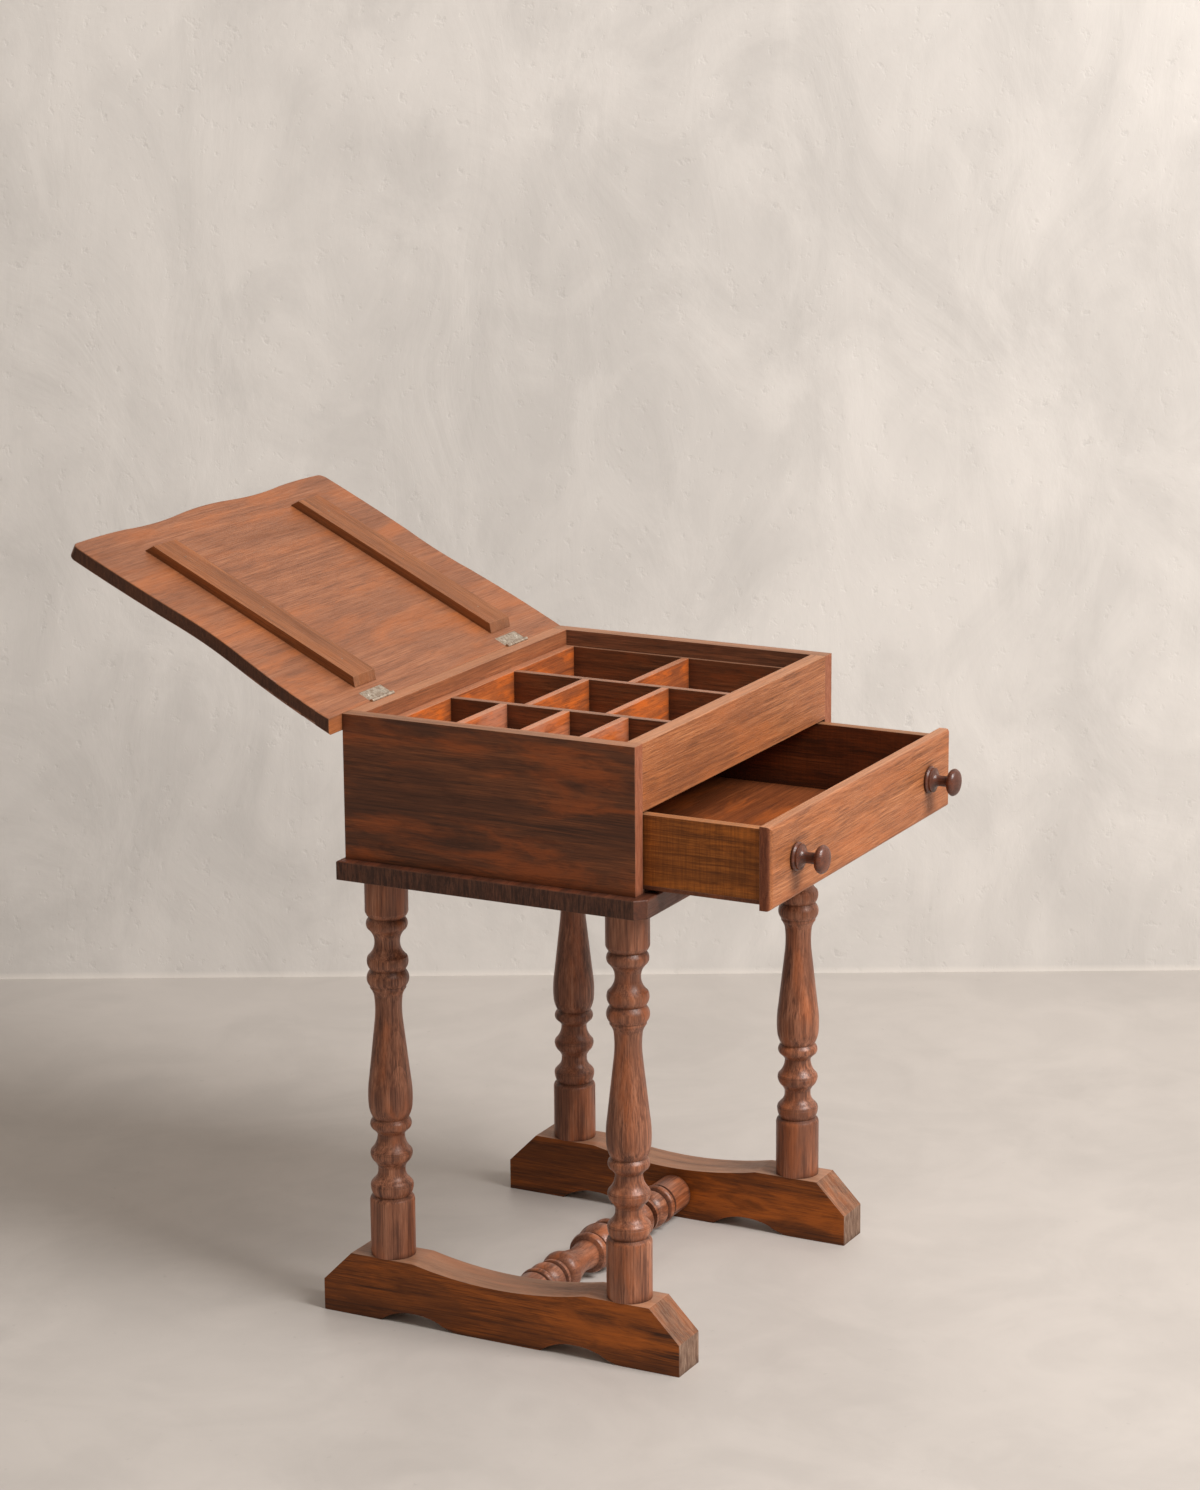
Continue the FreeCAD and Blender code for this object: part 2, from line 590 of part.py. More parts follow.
def leg_stations():
    """The turnings of a leg, from its foot block to its head block, with a tenon at each end."""
    groove = size.leg_groove
    turnings = [
        (size.leg_block, size.leg_block_radius, None),
        (size.leg_rim, size.leg_rim_radius, size.leg_rim_rise),
        (groove, size.leg_groove_radius, None),
        (size.leg_low_belly, size.leg_low_bell_radius, size.leg_low_belly_rise),
    ] + cut_lines(size.leg_low_bell_radius) + [
        (size.leg_low_shoulder, size.leg_shoulder_radius, None),
        (size.leg_low_cove, size.leg_neck_radius, -size.leg_low_cove_rise),
        (size.leg_low_neck, size.leg_neck_radius, None),
        (size.leg_bell_cove, size.leg_shoulder_radius, -size.leg_bell_cove_rise),
        (size.leg_bell_belly, size.leg_bell_radius, size.leg_bell_belly_rise),
    ] + cut_lines(size.leg_bell_radius) + [
        (size.leg_bell_taper, size.leg_neck_radius, -size.leg_bell_taper_rise),
        (size.leg_ring_neck, size.leg_neck_radius, None),
        (size.leg_ring_flare, size.leg_ring_radius, -size.leg_ring_flare_rise),
        (size.leg_ring, size.leg_ring_radius, size.leg_ring_rise),
        (groove, size.leg_vase_foot_radius, None),
        (size.leg_vase_foot, size.leg_vase_radius, size.leg_vase_foot_rise),
        (size.leg_vase, size.leg_vase_shoulder_radius, size.leg_vase_rise),
        (size.leg_taper, size.leg_taper_radius, None),
        (size.leg_waist, size.leg_waist_radius, -size.leg_waist_rise),
        (size.leg_flare, size.leg_collar_radius, -size.leg_flare_rise),
        (size.leg_collar, size.leg_collar_radius, None),
        (ZERO, size.leg_torus_radius, None),
        (size.leg_torus, size.leg_torus_radius, size.leg_torus_rise),
        (groove, size.leg_quirk_radius, None),
        (size.leg_high_bulge, size.leg_high_bulge_radius, size.leg_high_bulge_rise),
        (size.leg_high_cove, size.leg_high_neck_radius, -size.leg_high_cove_rise),
        (size.leg_high_neck, size.leg_high_neck_radius, -size.leg_high_neck_rise),
        (size.leg_bead_flare, size.leg_bead_radius, -size.leg_bead_flare_rise),
        (size.leg_bead, size.leg_bead_radius, size.leg_bead_rise),
        (groove, size.leg_head_groove_radius, None),
        (size.leg_head_rim, size.leg_head_radius, size.leg_head_rim_rise),
    ]
    body = stack((size.leg_block_radius, ZERO), turnings)
    low_tenon = [(size.leg_tenon_radius, -size.leg_foot_tenon, None), (size.leg_tenon_radius, ZERO, None)]
    top_tenon = [
        (size.leg_head_radius, size.leg_height, None),
        (size.leg_tenon_radius, size.leg_height, None),
        (size.leg_tenon_radius, size.leg_height + size.leg_top_tenon, None),
    ]
    return low_tenon + body + top_tenon


def make_leg(side, side_name, end, end_name):
    leg = turned(f"leg_{end_name}_{side_name}", leg_stations())
    place(leg, mid_x + leg_x * side, leg_mid_y + leg_y * end, size.foot_height)
    node(leg, f"leg_{end_name}_{side_name}")


def stretcher_stations():
    """The turnings of the stretcher from one tenon to the other, alike on both sides of its middle bead."""
    groove = size.bar_groove
    half_span = leg_x - size.foot_width / 2
    turnings = [
        (groove, size.bar_groove_radius, None),
        (groove, size.bar_ring_radius, None),
        (size.bar_ring, size.bar_ring_radius, size.bar_ring_rise),
        (groove, size.bar_groove_radius, None),
        (size.bar_waist, size.bar_waist_radius, None),
        (size.bar_vase, size.bar_vase_radius, -size.bar_vase_rise),
        (size.bar_shoulder, size.bar_neck_radius, size.bar_shoulder_rise),
        (size.bar_neck, size.bar_neck_radius, None),
        (ZERO, size.bar_fillet_radius, None),
        (size.bar_fillet, size.bar_fillet_radius, None),
        (groove, size.bar_groove_radius, None),
        (size.bar_bulge, size.bar_groove_radius, size.bar_bulge_rise),
        (groove, size.bar_ring_radius, None),
        (size.bar_outer_ring, size.bar_ring_radius, size.bar_ring_rise),
        (groove, size.bar_groove_radius, None),
        (groove, size.bar_collar_radius, None),
    ]
    outward = stack((size.bar_bead_radius, size.bar_bead_half), turnings) + [
        (size.bar_collar_radius, half_span, None),
        (size.stretcher_tenon_radius, half_span, None),
        (size.stretcher_tenon_radius, half_span + size.stretcher_tenon, None),
    ]
    inward = []
    for index in range(len(outward) - 1, -1, -1):
        radius, height, rise = outward[index]
        swell = outward[index - 1][2] if index > 0 else size.bar_bead_rise
        inward.append((radius, -height, swell))
    return inward + outward


def make_stretcher():
    bar = turned("stretcher", stretcher_stations())
    place(bar, mid_x, mid_y, size.stretcher_height, FreeCAD.Vector(0, 1, 0), as_size(90))
    node(bar, "stretcher")


def screw(name, head_radius, head_height, shank_radius, length, fit=ZERO):
    """A countersunk screw that hangs down from its head, or the hole for it when fit is given."""
    head = doc.addObject("Part::Cone", f"{name}_head")
    bind(head, "Radius1", shank_radius + fit)
    bind(head, "Radius2", head_radius + fit)
    bind(head, "Height", head_height)
    place(head, z=-as_size(head_height))
    shank = rod(f"{name}_shank", shank_radius + fit, length + fit)
    place(shank, z=-(length + fit))
    return fuse(name, [head, shank])


def base_screw_places():
    for side, side_name in SIDES:
        for step, word in ((-1, "front"), (0, "middle"), (1, "back")):
            x = mid_x + (size.box_width / 2 - size.side_thick / 2) * side
            yield f"{side_name}_{word}", x, mid_y + size.base_screw_spacing * step


def base_screw(name, x, y, fit=ZERO):
    part = screw(name, size.base_screw_head, size.base_screw_radius, size.base_screw_radius,
                 size.base_screw_length, fit)
    return place(part, x, y, base_under, FreeCAD.Vector(1, 0, 0), as_size(180))


def make_base_board():
    """The board on the legs, with its front corners cut off and its upper edges eased."""
    name = "base_board"
    body = doc.addObject("PartDesign::Body", f"{name}_blank")
    sketch = new_sketch(body, "XY_Plane", f"{name}_outline")
    half = size.box_width / 2 + size.base_side_ledge
    front = -(size.box_depth / 2 + size.base_front_ledge)
    back = size.box_depth / 2 + size.base_back_ledge
    clip = size.base_clip
    draw(sketch, [(clip - half, front), (half - clip, front), (half, front + clip),
                  (half, back), (-half, back), (-half, front + clip)])
    block = pad(body, sketch, f"{name}_pad", size.base_thick)
    round_edges(body, block, f"{name}_edges", size.base_round,
                lambda edge: edge.BoundBox.ZMin > size.base_thick.value - 1e-3)
    place(body, mid_x, mid_y, base_under)
    tools = []
    for side, side_name in SIDES:
        for end, end_name in ENDS:
            socket = rod(f"{name}_{end_name}_{side_name}_socket", size.leg_tenon_radius + size.peg_fit,
                         size.leg_top_tenon + size.peg_fit)
            tools.append(place(socket, mid_x + leg_x * side, leg_mid_y + leg_y * end, base_under))
    for word, x, y in base_screw_places():
        tools.append(base_screw(f"{name}_{word}_hole", x, y, size.screw_fit))
    node(cut(name, body, tools), name)


# The box

def make_side(side, side_name):
    """A side panel, grooved for the compartment floor."""
    name = f"{side_name}_side"
    inner = mid_x + side_inner * side
    outer = mid_x + size.box_width / 2 * side
    faces = (inner, outer) if side == RIGHT else (outer, inner)
    blank = board(f"{name}_blank", faces, (front_face, back_face), (base_top, rim))
    groove_bottom = inner + size.floor_housing * side
    groove_faces = (inner, groove_bottom) if side == RIGHT else (groove_bottom, inner)
    groove = board(f"{name}_groove", groove_faces, (rail_inner, back_inner + size.floor_housing),
                   (rail_under, floor_top))
    tools = [groove]
    for word, x, y in base_screw_places():
        if word.startswith(side_name):
            tools.append(base_screw(f"{name}_{word}_hole", x, y, size.screw_fit))
    node(cut(name, blank, tools), name)


def make_back():
    """The back board, grooved for the floor and let in for the hinges."""
    name = "back_board"
    across = (mid_x - side_inner, mid_x + side_inner)
    blank = board(f"{name}_blank", across, (back_inner, back_face), (base_top, rim))
    groove = board(f"{name}_groove", across, (back_inner, back_inner + size.floor_housing),
                   (rail_under, floor_top))
    tools = [groove]
    for side, side_name in SIDES:
        tools += hinge_recess(f"{name}_{side_name}", lid_x + hinge_x(side), as_size(-90))
    node(cut(name, blank, tools), name)


def make_rail():
    across = (mid_x - side_inner, mid_x + side_inner)
    node(board("front_rail", across, (front_face, rail_inner), (rail_under, rim)), "front_rail")


def make_compartments():
    """The floor, the liners and the dividers, all housed or butted and fixed."""
    housed = side_inner + size.floor_housing
    node(board("compartment_floor", (mid_x - housed, mid_x + housed),
               (rail_inner, back_inner + size.floor_housing), (rail_under, floor_top)), "compartment_floor")
    heights = (floor_top, floor_top + size.cell_depth)
    across = (mid_x - side_inner, mid_x + side_inner)
    inside_front = rail_inner + size.front_liner_thick
    inside_back = back_inner - size.back_liner_thick
    inside_half = side_inner - size.side_liner_thick
    node(board("front_liner", across, (rail_inner, inside_front), heights), "front_liner")
    node(board("back_liner", across, (inside_back, back_inner), heights), "back_liner")
    node(board("left_liner", (mid_x - side_inner, mid_x - inside_half), (inside_front, inside_back), heights),
         "left_liner")
    node(board("right_liner", (mid_x + inside_half, mid_x + side_inner), (inside_front, inside_back), heights),
         "right_liner")
    half = size.divider_thick / 2
    left_x = mid_x + size.left_divider_x
    right_x = mid_x + size.right_divider_x
    node(board("long_divider_left", (left_x - half, left_x + half), (inside_front, inside_back), heights),
         "long_divider_left")
    node(board("long_divider_right", (right_x - half, right_x + half), (inside_front, inside_back), heights),
         "long_divider_right")
    left_row = (mid_x - inside_half, left_x - half)
    middle_row = (left_x + half, right_x - half)
    right_row = (right_x + half, mid_x + inside_half)
    for name, row, y in (
        ("cross_divider_left_back", left_row, size.left_cross_back_y),
        ("cross_divider_left_middle", left_row, size.left_cross_middle_y),
        ("cross_divider_left_front", left_row, size.left_cross_front_y),
        ("cross_divider_middle_back", middle_row, size.middle_cross_back_y),
        ("cross_divider_middle_front", middle_row, size.middle_cross_front_y),
        ("cross_divider_right", right_row, size.right_cross_y),
    ):
        node(board(name, row, (mid_y + y - half, mid_y + y + half), heights), name)


def make_base_screws():
    screws = [base_screw(f"base_screw_{word}", x, y) for word, x, y in base_screw_places()]
    node(group("base_screws", screws), "base_screws")


# The drawer, which slides on two strips on the base board

drawer_face = front_face - size.drawer_front_gap - size.drawer_pull
drawer_outer = side_inner - size.drawer_side_gap
drawer_inner = drawer_outer - size.drawer_side_thick
drawer_under = base_top + size.runner_thick + size.running_gap
drawer_floor = drawer_under + size.drawer_bottom_thick
drawer_rear = drawer_face + size.drawer_length
drawer_front_low = base_top + size.drawer_lift
drawer_front_height = rail_under + size.drawer_lap_top - drawer_front_low
knob_z = drawer_front_low + drawer_front_height / 2


def make_runner(side, side_name):
    name = f"{side_name}_runner"
    outer = mid_x + drawer_outer * side
    inner = mid_x + (drawer_outer - size.runner_width) * side
    faces = (inner, outer) if side == RIGHT else (outer, inner)
    node(board(name, faces, (front_face, back_inner), (base_top, base_top + size.runner_thick)), name)


def make_drawer_front():
    """The drawer front, rounded on its outer face, with two holes for the knobs."""
    name = "drawer_front"
    body = doc.addObject("PartDesign::Body", f"{name}_blank")
    sketch = new_sketch(body, "XZ_Plane", f"{name}_outline")
    half = side_inner + size.drawer_lap_side
    draw(sketch, rectangle((-half, half), (ZERO, drawer_front_height)))
    block = pad(body, sketch, f"{name}_pad", size.drawer_front_thick)
    outer = -size.drawer_front_thick.value
    round_edges(body, block, f"{name}_edges", size.drawer_front_round,
                lambda edge: edge.BoundBox.YMax < outer + 1e-3)
    place(body, mid_x, drawer_face, drawer_front_low)
    holes = []
    for side, side_name in SIDES:
        hole = rod(f"{name}_{side_name}_hole", size.knob_tenon_radius + size.peg_fit, size.drawer_front_thick)
        place(hole, mid_x + size.knob_x * side, drawer_face, knob_z, FreeCAD.Vector(1, 0, 0), as_size(90))
        holes.append(hole)
    node(cut(name, body, holes), name)


def knob_stations():
    """A knob from its tenon outwards: base with a groove, cove, neck and a flattened ball."""
    quirk = size.knob_quirk
    base_edge = size.knob_radius - quirk
    base_end = size.knob_base_thick
    neck_end = base_end + size.knob_neck_length
    ball_middle = neck_end + size.knob_ball_thick / 2
    tip = neck_end + size.knob_ball_thick
    return [
        (size.knob_tenon_radius, -size.drawer_front_thick, None),
        (size.knob_tenon_radius, ZERO, None),
        (base_edge, ZERO, quirk),
        (base_edge, base_end / 2, None),
        (base_edge - quirk, base_end / 2 + quirk, None),
        (base_edge - quirk, base_end, -size.knob_cove_rise),
        (size.knob_neck_radius, base_end + size.knob_cove, None),
        (size.knob_neck_radius, neck_end, None),
        (size.knob_turn_radius, neck_end + size.knob_turn_depth, size.knob_rim_rise),
        (size.knob_radius, ball_middle, size.knob_rim_rise),
        (size.knob_turn_radius, tip - size.knob_turn_depth, size.knob_face_rise),
        (size.knob_tip_radius, tip, None),
    ]


def make_knob(side, side_name):
    name = f"{side_name}_knob"
    knob = turned(name, knob_stations())
    place(knob, mid_x + size.knob_x * side, drawer_face - size.drawer_front_thick, knob_z,
          FreeCAD.Vector(1, 0, 0), as_size(90))
    node(knob, name)


def make_drawer_box():
    """Sides that butt the front, a back between them, and a bottom nailed up under them."""
    sides_top = drawer_floor + size.drawer_side_height
    for side, side_name in SIDES:
        name = f"drawer_{side_name}_side"
        outer = mid_x + drawer_outer * side
        inner = mid_x + drawer_inner * side
        faces = (inner, outer) if side == RIGHT else (outer, inner)
        blank = board(f"{name}_blank", faces, (drawer_face, drawer_rear), (drawer_floor, sides_top))
        holes = [drawer_nail(f"{name}_{word}_hole", x, y, size.screw_fit)
                 for word, x, y in drawer_nail_places() if word.startswith(side_name)]
        node(cut(name, blank, holes), name)
    node(board("drawer_back", (mid_x - drawer_inner, mid_x + drawer_inner),
               (drawer_rear - size.drawer_back_thick, drawer_rear),
               (drawer_floor, drawer_floor + size.drawer_back_height)), "drawer_back")
    blank = board("drawer_bottom_blank", (mid_x - drawer_outer, mid_x + drawer_outer),
                  (drawer_face, drawer_rear), (drawer_under, drawer_floor))
    holes = [drawer_nail(f"drawer_bottom_{word}_hole", x, y, size.screw_fit)
             for word, x, y in drawer_nail_places()]
    node(cut("drawer_bottom", blank, holes), "drawer_bottom")
    nails = [drawer_nail(f"drawer_nail_{word}", x, y) for word, x, y in drawer_nail_places()]
    node(group("drawer_nails", nails), "drawer_nails")


def drawer_nail_places():
    middle = (drawer_face + drawer_rear) / 2
    for side, side_name in SIDES:
        for step, word in ((-1, "front"), (0, "middle"), (1, "back")):
            x = mid_x + (drawer_outer - size.drawer_side_thick / 2) * side
            yield f"{side_name}_{word}", x, middle + size.drawer_nail_spacing * step


def drawer_nail(name, x, y, fit=ZERO):
    return place(rod(name, size.nail_radius + fit, size.drawer_nail_length + fit), x, y, drawer_under)


# The lid and its hinges. Each lid piece is drawn with the hinge pin as its x axis, y towards the lid's front
# edge and z out of its inner face, and is then leaned back about the pin.

X_AXIS = FreeCAD.Vector(1, 0, 0)


def lean(part, x=ZERO):
    return place(part, lid_x + x, pin_y, pin_z, X_AXIS, size.lid_lean)


def hinge_x(side):
    """A hinge's middle, from the middle of the lid."""
    return size.hinge_shift + hinge_spacing / 2 * side


def make_lid_board():
    """The serpentine board, with a bevelled rear edge that stops it against the back board."""
    name = "lid_board"
    body = doc.addObject("PartDesign::Body", f"{name}_blank")
    sketch = new_sketch(body, "XY_Plane", f"{name}_outline")
    outer_face = lid_inner - size.lid_thick
    stop_line = size.stop_gap - size.lid_gap / 2

    def bevel_at(z):
        return (stop_line + z * sine(size.lid_lean)) / cosine(size.lid_lean)

    under, over = outer_face - size.bevel_spare, lid_inner + size.bevel_spare
    rear_end = bevel_at(under)
    beyond = {
        LEFT: (size.lid_rear_left, size.lid_turn_left, size.lid_waist_left, size.lid_front_left),
        RIGHT: (size.lid_rear_right, size.lid_turn_right, size.lid_waist_right, size.lid_front_right),
    }
    swells = [size.lid_rear_rise, -size.lid_waist_rise, size.lid_side_rise, size.lid_corner_rise,
              size.lid_end_rise, -size.lid_wave_rise, size.lid_wave_rise]
    wave_in = size.lid_wave / 2
    wave_out = wave_in + size.lid_wave
    outline = {}
    for side in (LEFT, RIGHT):
        rear, turn_in, turn_out, front = (size.box_width / 2 + over for over in beyond[side])
        front_edge = lid_depth - size.lid_skew * side
        slope = size.lid_skew / (front - size.lid_corner)
        outline[side] = [
            (rear * side, rear_end),
            (turn_in * side, size.lid_rear_turn),
            (turn_out * side, size.lid_front_turn),
            (front * side, front_edge - size.lid_corner),
            ((front - size.lid_corner) * side, front_edge),
            (wave_out * side, lid_depth - slope * wave_out * side),
            (wave_in * side, lid_depth - slope * wave_in * side),
        ]
    points = outline[RIGHT] + list(reversed(outline[LEFT]))
    rises = swells + list(reversed(swells[:-1]))
    draw(sketch, points, dict(enumerate(rises)))
    block = pad(body, sketch, f"{name}_pad", size.lid_thick)
    low, high = 0, size.lid_thick.value
    rear = rear_end.value
    top = round_edges(body, block, f"{name}_top_edges", size.lid_top_round,
                      lambda edge: edge.BoundBox.ZMax < low + 1e-3 and edge.BoundBox.YMax > rear + 1)
    round_edges(body, top, f"{name}_under_edges", size.lid_under_round,
                lambda edge: edge.BoundBox.ZMin > high - 1e-3 and edge.BoundBox.YMax > rear + 1)
    place(body, z=outer_face)
    wedge_body = doc.addObject("PartDesign::Body", f"{name}_bevel")
    wedge_sketch = new_sketch(wedge_body, "YZ_Plane", f"{name}_bevel_outline")
    draw(wedge_sketch, [(rear_end - size.lid_thick, under), (rear_end, under), (bevel_at(over), over),
                        (rear_end - size.lid_thick, over)])
    pad(wedge_body, wedge_sketch, f"{name}_bevel_pad", size.box_width * 2, midplane=True)
    tools = [wedge_body]
    for side, side_name in SIDES:
        tools += hinge_recess(f"{name}_{side_name}", hinge_x(side), None)
        for word, y in batten_nail_rows():
            tools.append(batten_nail(f"{name}_{side_name}_{word}_hole", side, y, size.screw_fit))
    node(lean(cut(name, body, tools)), name)


def hinge_recess(name, x, angle):
    """What a hinge needs cut away: the leaf's recess, room for the knuckles, and the screw holes.

    With an angle the tools stand at the pin in the box; with none they stay in the lid's own drawing.
    """
    half = size.hinge_length / 2 + size.leaf_fit
    recess = doc.addObject("Part::Box", f"{name}_recess")
    bind(recess, "Length", half * 2)
    bind(recess, "Width", size.leaf_width + size.leaf_fit)
    bind(recess, "Height", size.leaf_thick - lid_inner)
    room = rod(f"{name}_room", size.barrel_radius + size.barrel_gap, half * 2)
    tools = [recess, room]
    recess_z = lid_inner - size.leaf_thick
    if angle is None:
        place(recess, x - half, ZERO, recess_z)
        place(room, x - half, axis=FreeCAD.Vector(0, 1, 0), angle=as_size(90))
    else:
        place(recess, x - half, pin_y + recess_z, pin_z, X_AXIS, angle)
        place(room, x - half, pin_y, pin_z, FreeCAD.Vector(0, 1, 0), as_size(90))
    for step, screw_word in ((-1, "a"), (1, "b")):
        hole = hinge_screw(f"{name}_{screw_word}_hole", size.screw_fit)
        tools.append(set_screw(hole, x + size.screw_spacing / 2 * step, angle))
    return tools


def hinge_screw(name, fit=ZERO):
    return screw(name, size.screw_head_radius, size.screw_head_height, size.screw_radius,
                 size.screw_length, fit)


def set_screw(part, x, angle):
    """A hinge screw's place: in the lid's drawing, or in the back board when an angle is given."""
    if angle is None:
        return place(part, x, size.screw_line, lid_inner)
    return place(part, x, pin_y + lid_inner, pin_z - size.screw_line, X_AXIS, angle)


def make_hinge(side, side_name):
    """Two leaves with their knuckles, and the pin."""
    knuckle = (size.hinge_length - size.barrel_gap * 2) / 3
    step = knuckle + size.barrel_gap
    x = hinge_x(side)
    half = size.hinge_length / 2
    for owner, knuckles in (("lid", (ZERO,)), ("back", (-step, step))):
        name = f"{owner}_leaf_{side_name}"
        plate = board(f"{name}_plate", (-half, half),
                      (size.barrel_radius + size.barrel_gap, size.leaf_width),
                      (lid_inner - size.leaf_thick, lid_inner))
        solids = [plate]
        bores = []
        for count, middle in enumerate(knuckles, start=1):
            low = middle - knuckle / 2
            solids.append(board(f"{name}_neck_{count}", (low, low + knuckle), (ZERO, size.leaf_width / 2),
                                (lid_inner - size.leaf_thick, lid_inner)))
            barrel = rod(f"{name}_barrel_{count}", size.barrel_radius, knuckle)
            solids.append(place(barrel, low, axis=FreeCAD.Vector(0, 1, 0), angle=as_size(90)))
        bore = rod(f"{name}_bore", size.pin_radius + size.pin_fit, size.hinge_length)
        bores.append(place(bore, -half, axis=FreeCAD.Vector(0, 1, 0), angle=as_size(90)))
        for step_x, word in ((-1, "a"), (1, "b")):
            hole = hinge_screw(f"{name}_{word}_hole", size.screw_fit)
            bores.append(place(hole, size.screw_spacing / 2 * step_x, size.screw_line, lid_inner))
        leaf = cut(name, fuse(f"{name}_blank", solids), bores)
        angle = size.lid_lean if owner == "lid" else as_size(-90)
        place(leaf, lid_x + x, pin_y, pin_z, X_AXIS, angle)
        node(leaf, name)
    pin = rod(f"hinge_pin_{side_name}", size.pin_radius, size.hinge_length)
    place(pin, lid_x + x - half, pin_y, pin_z, FreeCAD.Vector(0, 1, 0), as_size(90))
    node(pin, f"hinge_pin_{side_name}")


def make_hinge_screws():
    lid_screws = []
    back_screws = []
    for side, side_name in SIDES:
        for step, word in ((-1, "a"), (1, "b")):
            x = hinge_x(side) + size.screw_spacing / 2 * step
            lid_screws.append(set_screw(hinge_screw(f"lid_screw_{side_name}_{word}"), x, None))
            back_screws.append(
                set_screw(hinge_screw(f"back_screw_{side_name}_{word}"), lid_x + x, as_size(-90)))
    node(lean(group("lid_leaf_screws", lid_screws)), "lid_leaf_screws")
    node(group("back_leaf_screws", back_screws), "back_leaf_screws")


def batten_nail_rows():
    """Where the nails of a batten stand, from the pin."""
    middle = size.batten_start + batten_length / 2
    reach = batten_length / 2 - size.batten_nail_inset
    return (("rear", middle - reach), ("middle", middle), ("front", middle + reach))


def batten_nail(name, side, y, fit=ZERO):
    nail = rod(name, size.nail_radius + fit, size.batten_nail_length + fit)
    top = lid_inner + size.batten_thick
    return place(nail, batten_spacing / 2 * side, y, top - size.batten_nail_length - fit)


def make_batten(side, side_name):
    """A batten across the lid's grain, slanted at its ends."""
    name = f"{side_name}_batten"
    body = doc.addObject("PartDesign::Body", f"{name}_blank")
    sketch = new_sketch(body, "YZ_Plane", f"{name}_outline")
    start = size.batten_start
    end = start + batten_length
    top = lid_inner + size.batten_thick
    draw(sketch, [(start, lid_inner), (end, lid_inner), (end - size.batten_slope, top),
                  (start + size.batten_slope, top)])
    pad(body, sketch, f"{name}_pad", size.batten_width, midplane=True)
    place(body, batten_spacing / 2 * side)
    holes = [batten_nail(f"{name}_{word}_hole", side, y, size.screw_fit) for word, y in batten_nail_rows()]
    node(lean(cut(name, body, holes)), name)


def make_batten_nails():
    nails = [batten_nail(f"batten_nail_{side_name}_{word}", side, y)
             for side, side_name in SIDES for word, y in batten_nail_rows()]
    node(lean(group("batten_nails", nails)), "batten_nails")


for side, side_name in SIDES:
    make_foot(side, side_name)
    for end, end_name in ENDS:
        make_leg(side, side_name, end, end_name)
    make_side(side, side_name)
    make_runner(side, side_name)
    make_knob(side, side_name)
    make_batten(side, side_name)
    make_hinge(side, side_name)
make_stretcher()
make_base_board()
make_base_screws()
make_back()
make_rail()
make_compartments()
make_drawer_front()
make_drawer_box()
make_lid_board()
make_batten_nails()
make_hinge_screws()

doc.recompute()

for item in doc.Objects:
    if "Invalid" in item.State or "Error" in item.State:
        raise RuntimeError(f"{item.Name} failed: {item.State}")
for part in nodes:
    if part.Shape.isNull() or not part.Shape.isValid():
        raise RuntimeError(f"{part.Label} has no valid shape")

os.makedirs("parts", exist_ok=True)
for part in nodes:
    part.Shape.exportStep(f"parts/{part.Label}.step")
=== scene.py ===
import math

import bpy
from mathutils import Matrix, Vector


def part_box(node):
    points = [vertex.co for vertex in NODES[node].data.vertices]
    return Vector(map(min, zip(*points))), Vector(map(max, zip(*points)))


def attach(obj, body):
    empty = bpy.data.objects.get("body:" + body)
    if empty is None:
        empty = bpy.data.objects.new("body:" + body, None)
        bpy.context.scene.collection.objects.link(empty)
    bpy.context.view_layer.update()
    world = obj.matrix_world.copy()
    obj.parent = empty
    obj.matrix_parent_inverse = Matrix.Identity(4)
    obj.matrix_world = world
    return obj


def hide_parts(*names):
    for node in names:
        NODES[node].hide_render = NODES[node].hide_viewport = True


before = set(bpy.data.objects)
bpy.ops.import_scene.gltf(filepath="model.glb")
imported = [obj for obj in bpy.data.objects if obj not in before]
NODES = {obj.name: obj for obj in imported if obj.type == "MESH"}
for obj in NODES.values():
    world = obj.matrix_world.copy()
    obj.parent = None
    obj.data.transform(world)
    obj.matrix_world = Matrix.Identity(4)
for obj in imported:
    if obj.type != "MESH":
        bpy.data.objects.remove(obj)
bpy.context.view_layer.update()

MM = 0.001

# The camera stands near the left front corner, above the rim, and looks down. The length of its lens is given
# in pixels of a picture 1490 pixels high.

EYE = Vector((-3419.32, -1851.73, 1513.22)) * MM
HEADING, TILT, ROLL = math.radians(-62.56297), math.radians(13.84246), math.radians(-0.43316)
FOCAL_PIXELS, PICTURE_HEIGHT = 3959.70, 1490
SENSOR = 36.0


def camera_axes():
    """Right, up and backward, as the camera sees them."""
    level_part = math.cos(TILT)
    backward = Vector((math.sin(HEADING) * level_part, -math.cos(HEADING) * level_part, math.sin(TILT)))
    level = Vector((math.cos(HEADING), math.sin(HEADING), 0))
    upward = backward.cross(level)
    right = math.cos(ROLL) * level + math.sin(ROLL) * upward
    up = math.cos(ROLL) * upward - math.sin(ROLL) * level
    return right, up, backward


def set_camera():
    data = bpy.data.cameras.new("camera")
    data.sensor_width = SENSOR
    data.lens = FOCAL_PIXELS / PICTURE_HEIGHT * SENSOR
    camera = bpy.data.objects.new("camera", data)
    turned = Matrix(camera_axes()).transposed()
    camera.matrix_world = Matrix.Translation(EYE) @ turned.to_4x4()
    bpy.context.scene.collection.objects.link(camera)
    bpy.context.scene.camera = camera


set_camera()
bpy.context.scene.view_settings.view_transform = "Standard"

# Tools for node trees.


def linear(red, green, blue, gain=1.0):
    """A colour as a painter reads it off a screen, 0 to 255, as the shader's linear light."""
    def channel(value):
        part = value / 255
        return (part / 12.92 if part <= 0.04045 else ((part + 0.055) / 1.055) ** 2.4) * gain
    return (channel(red), channel(green), channel(blue), 1.0)


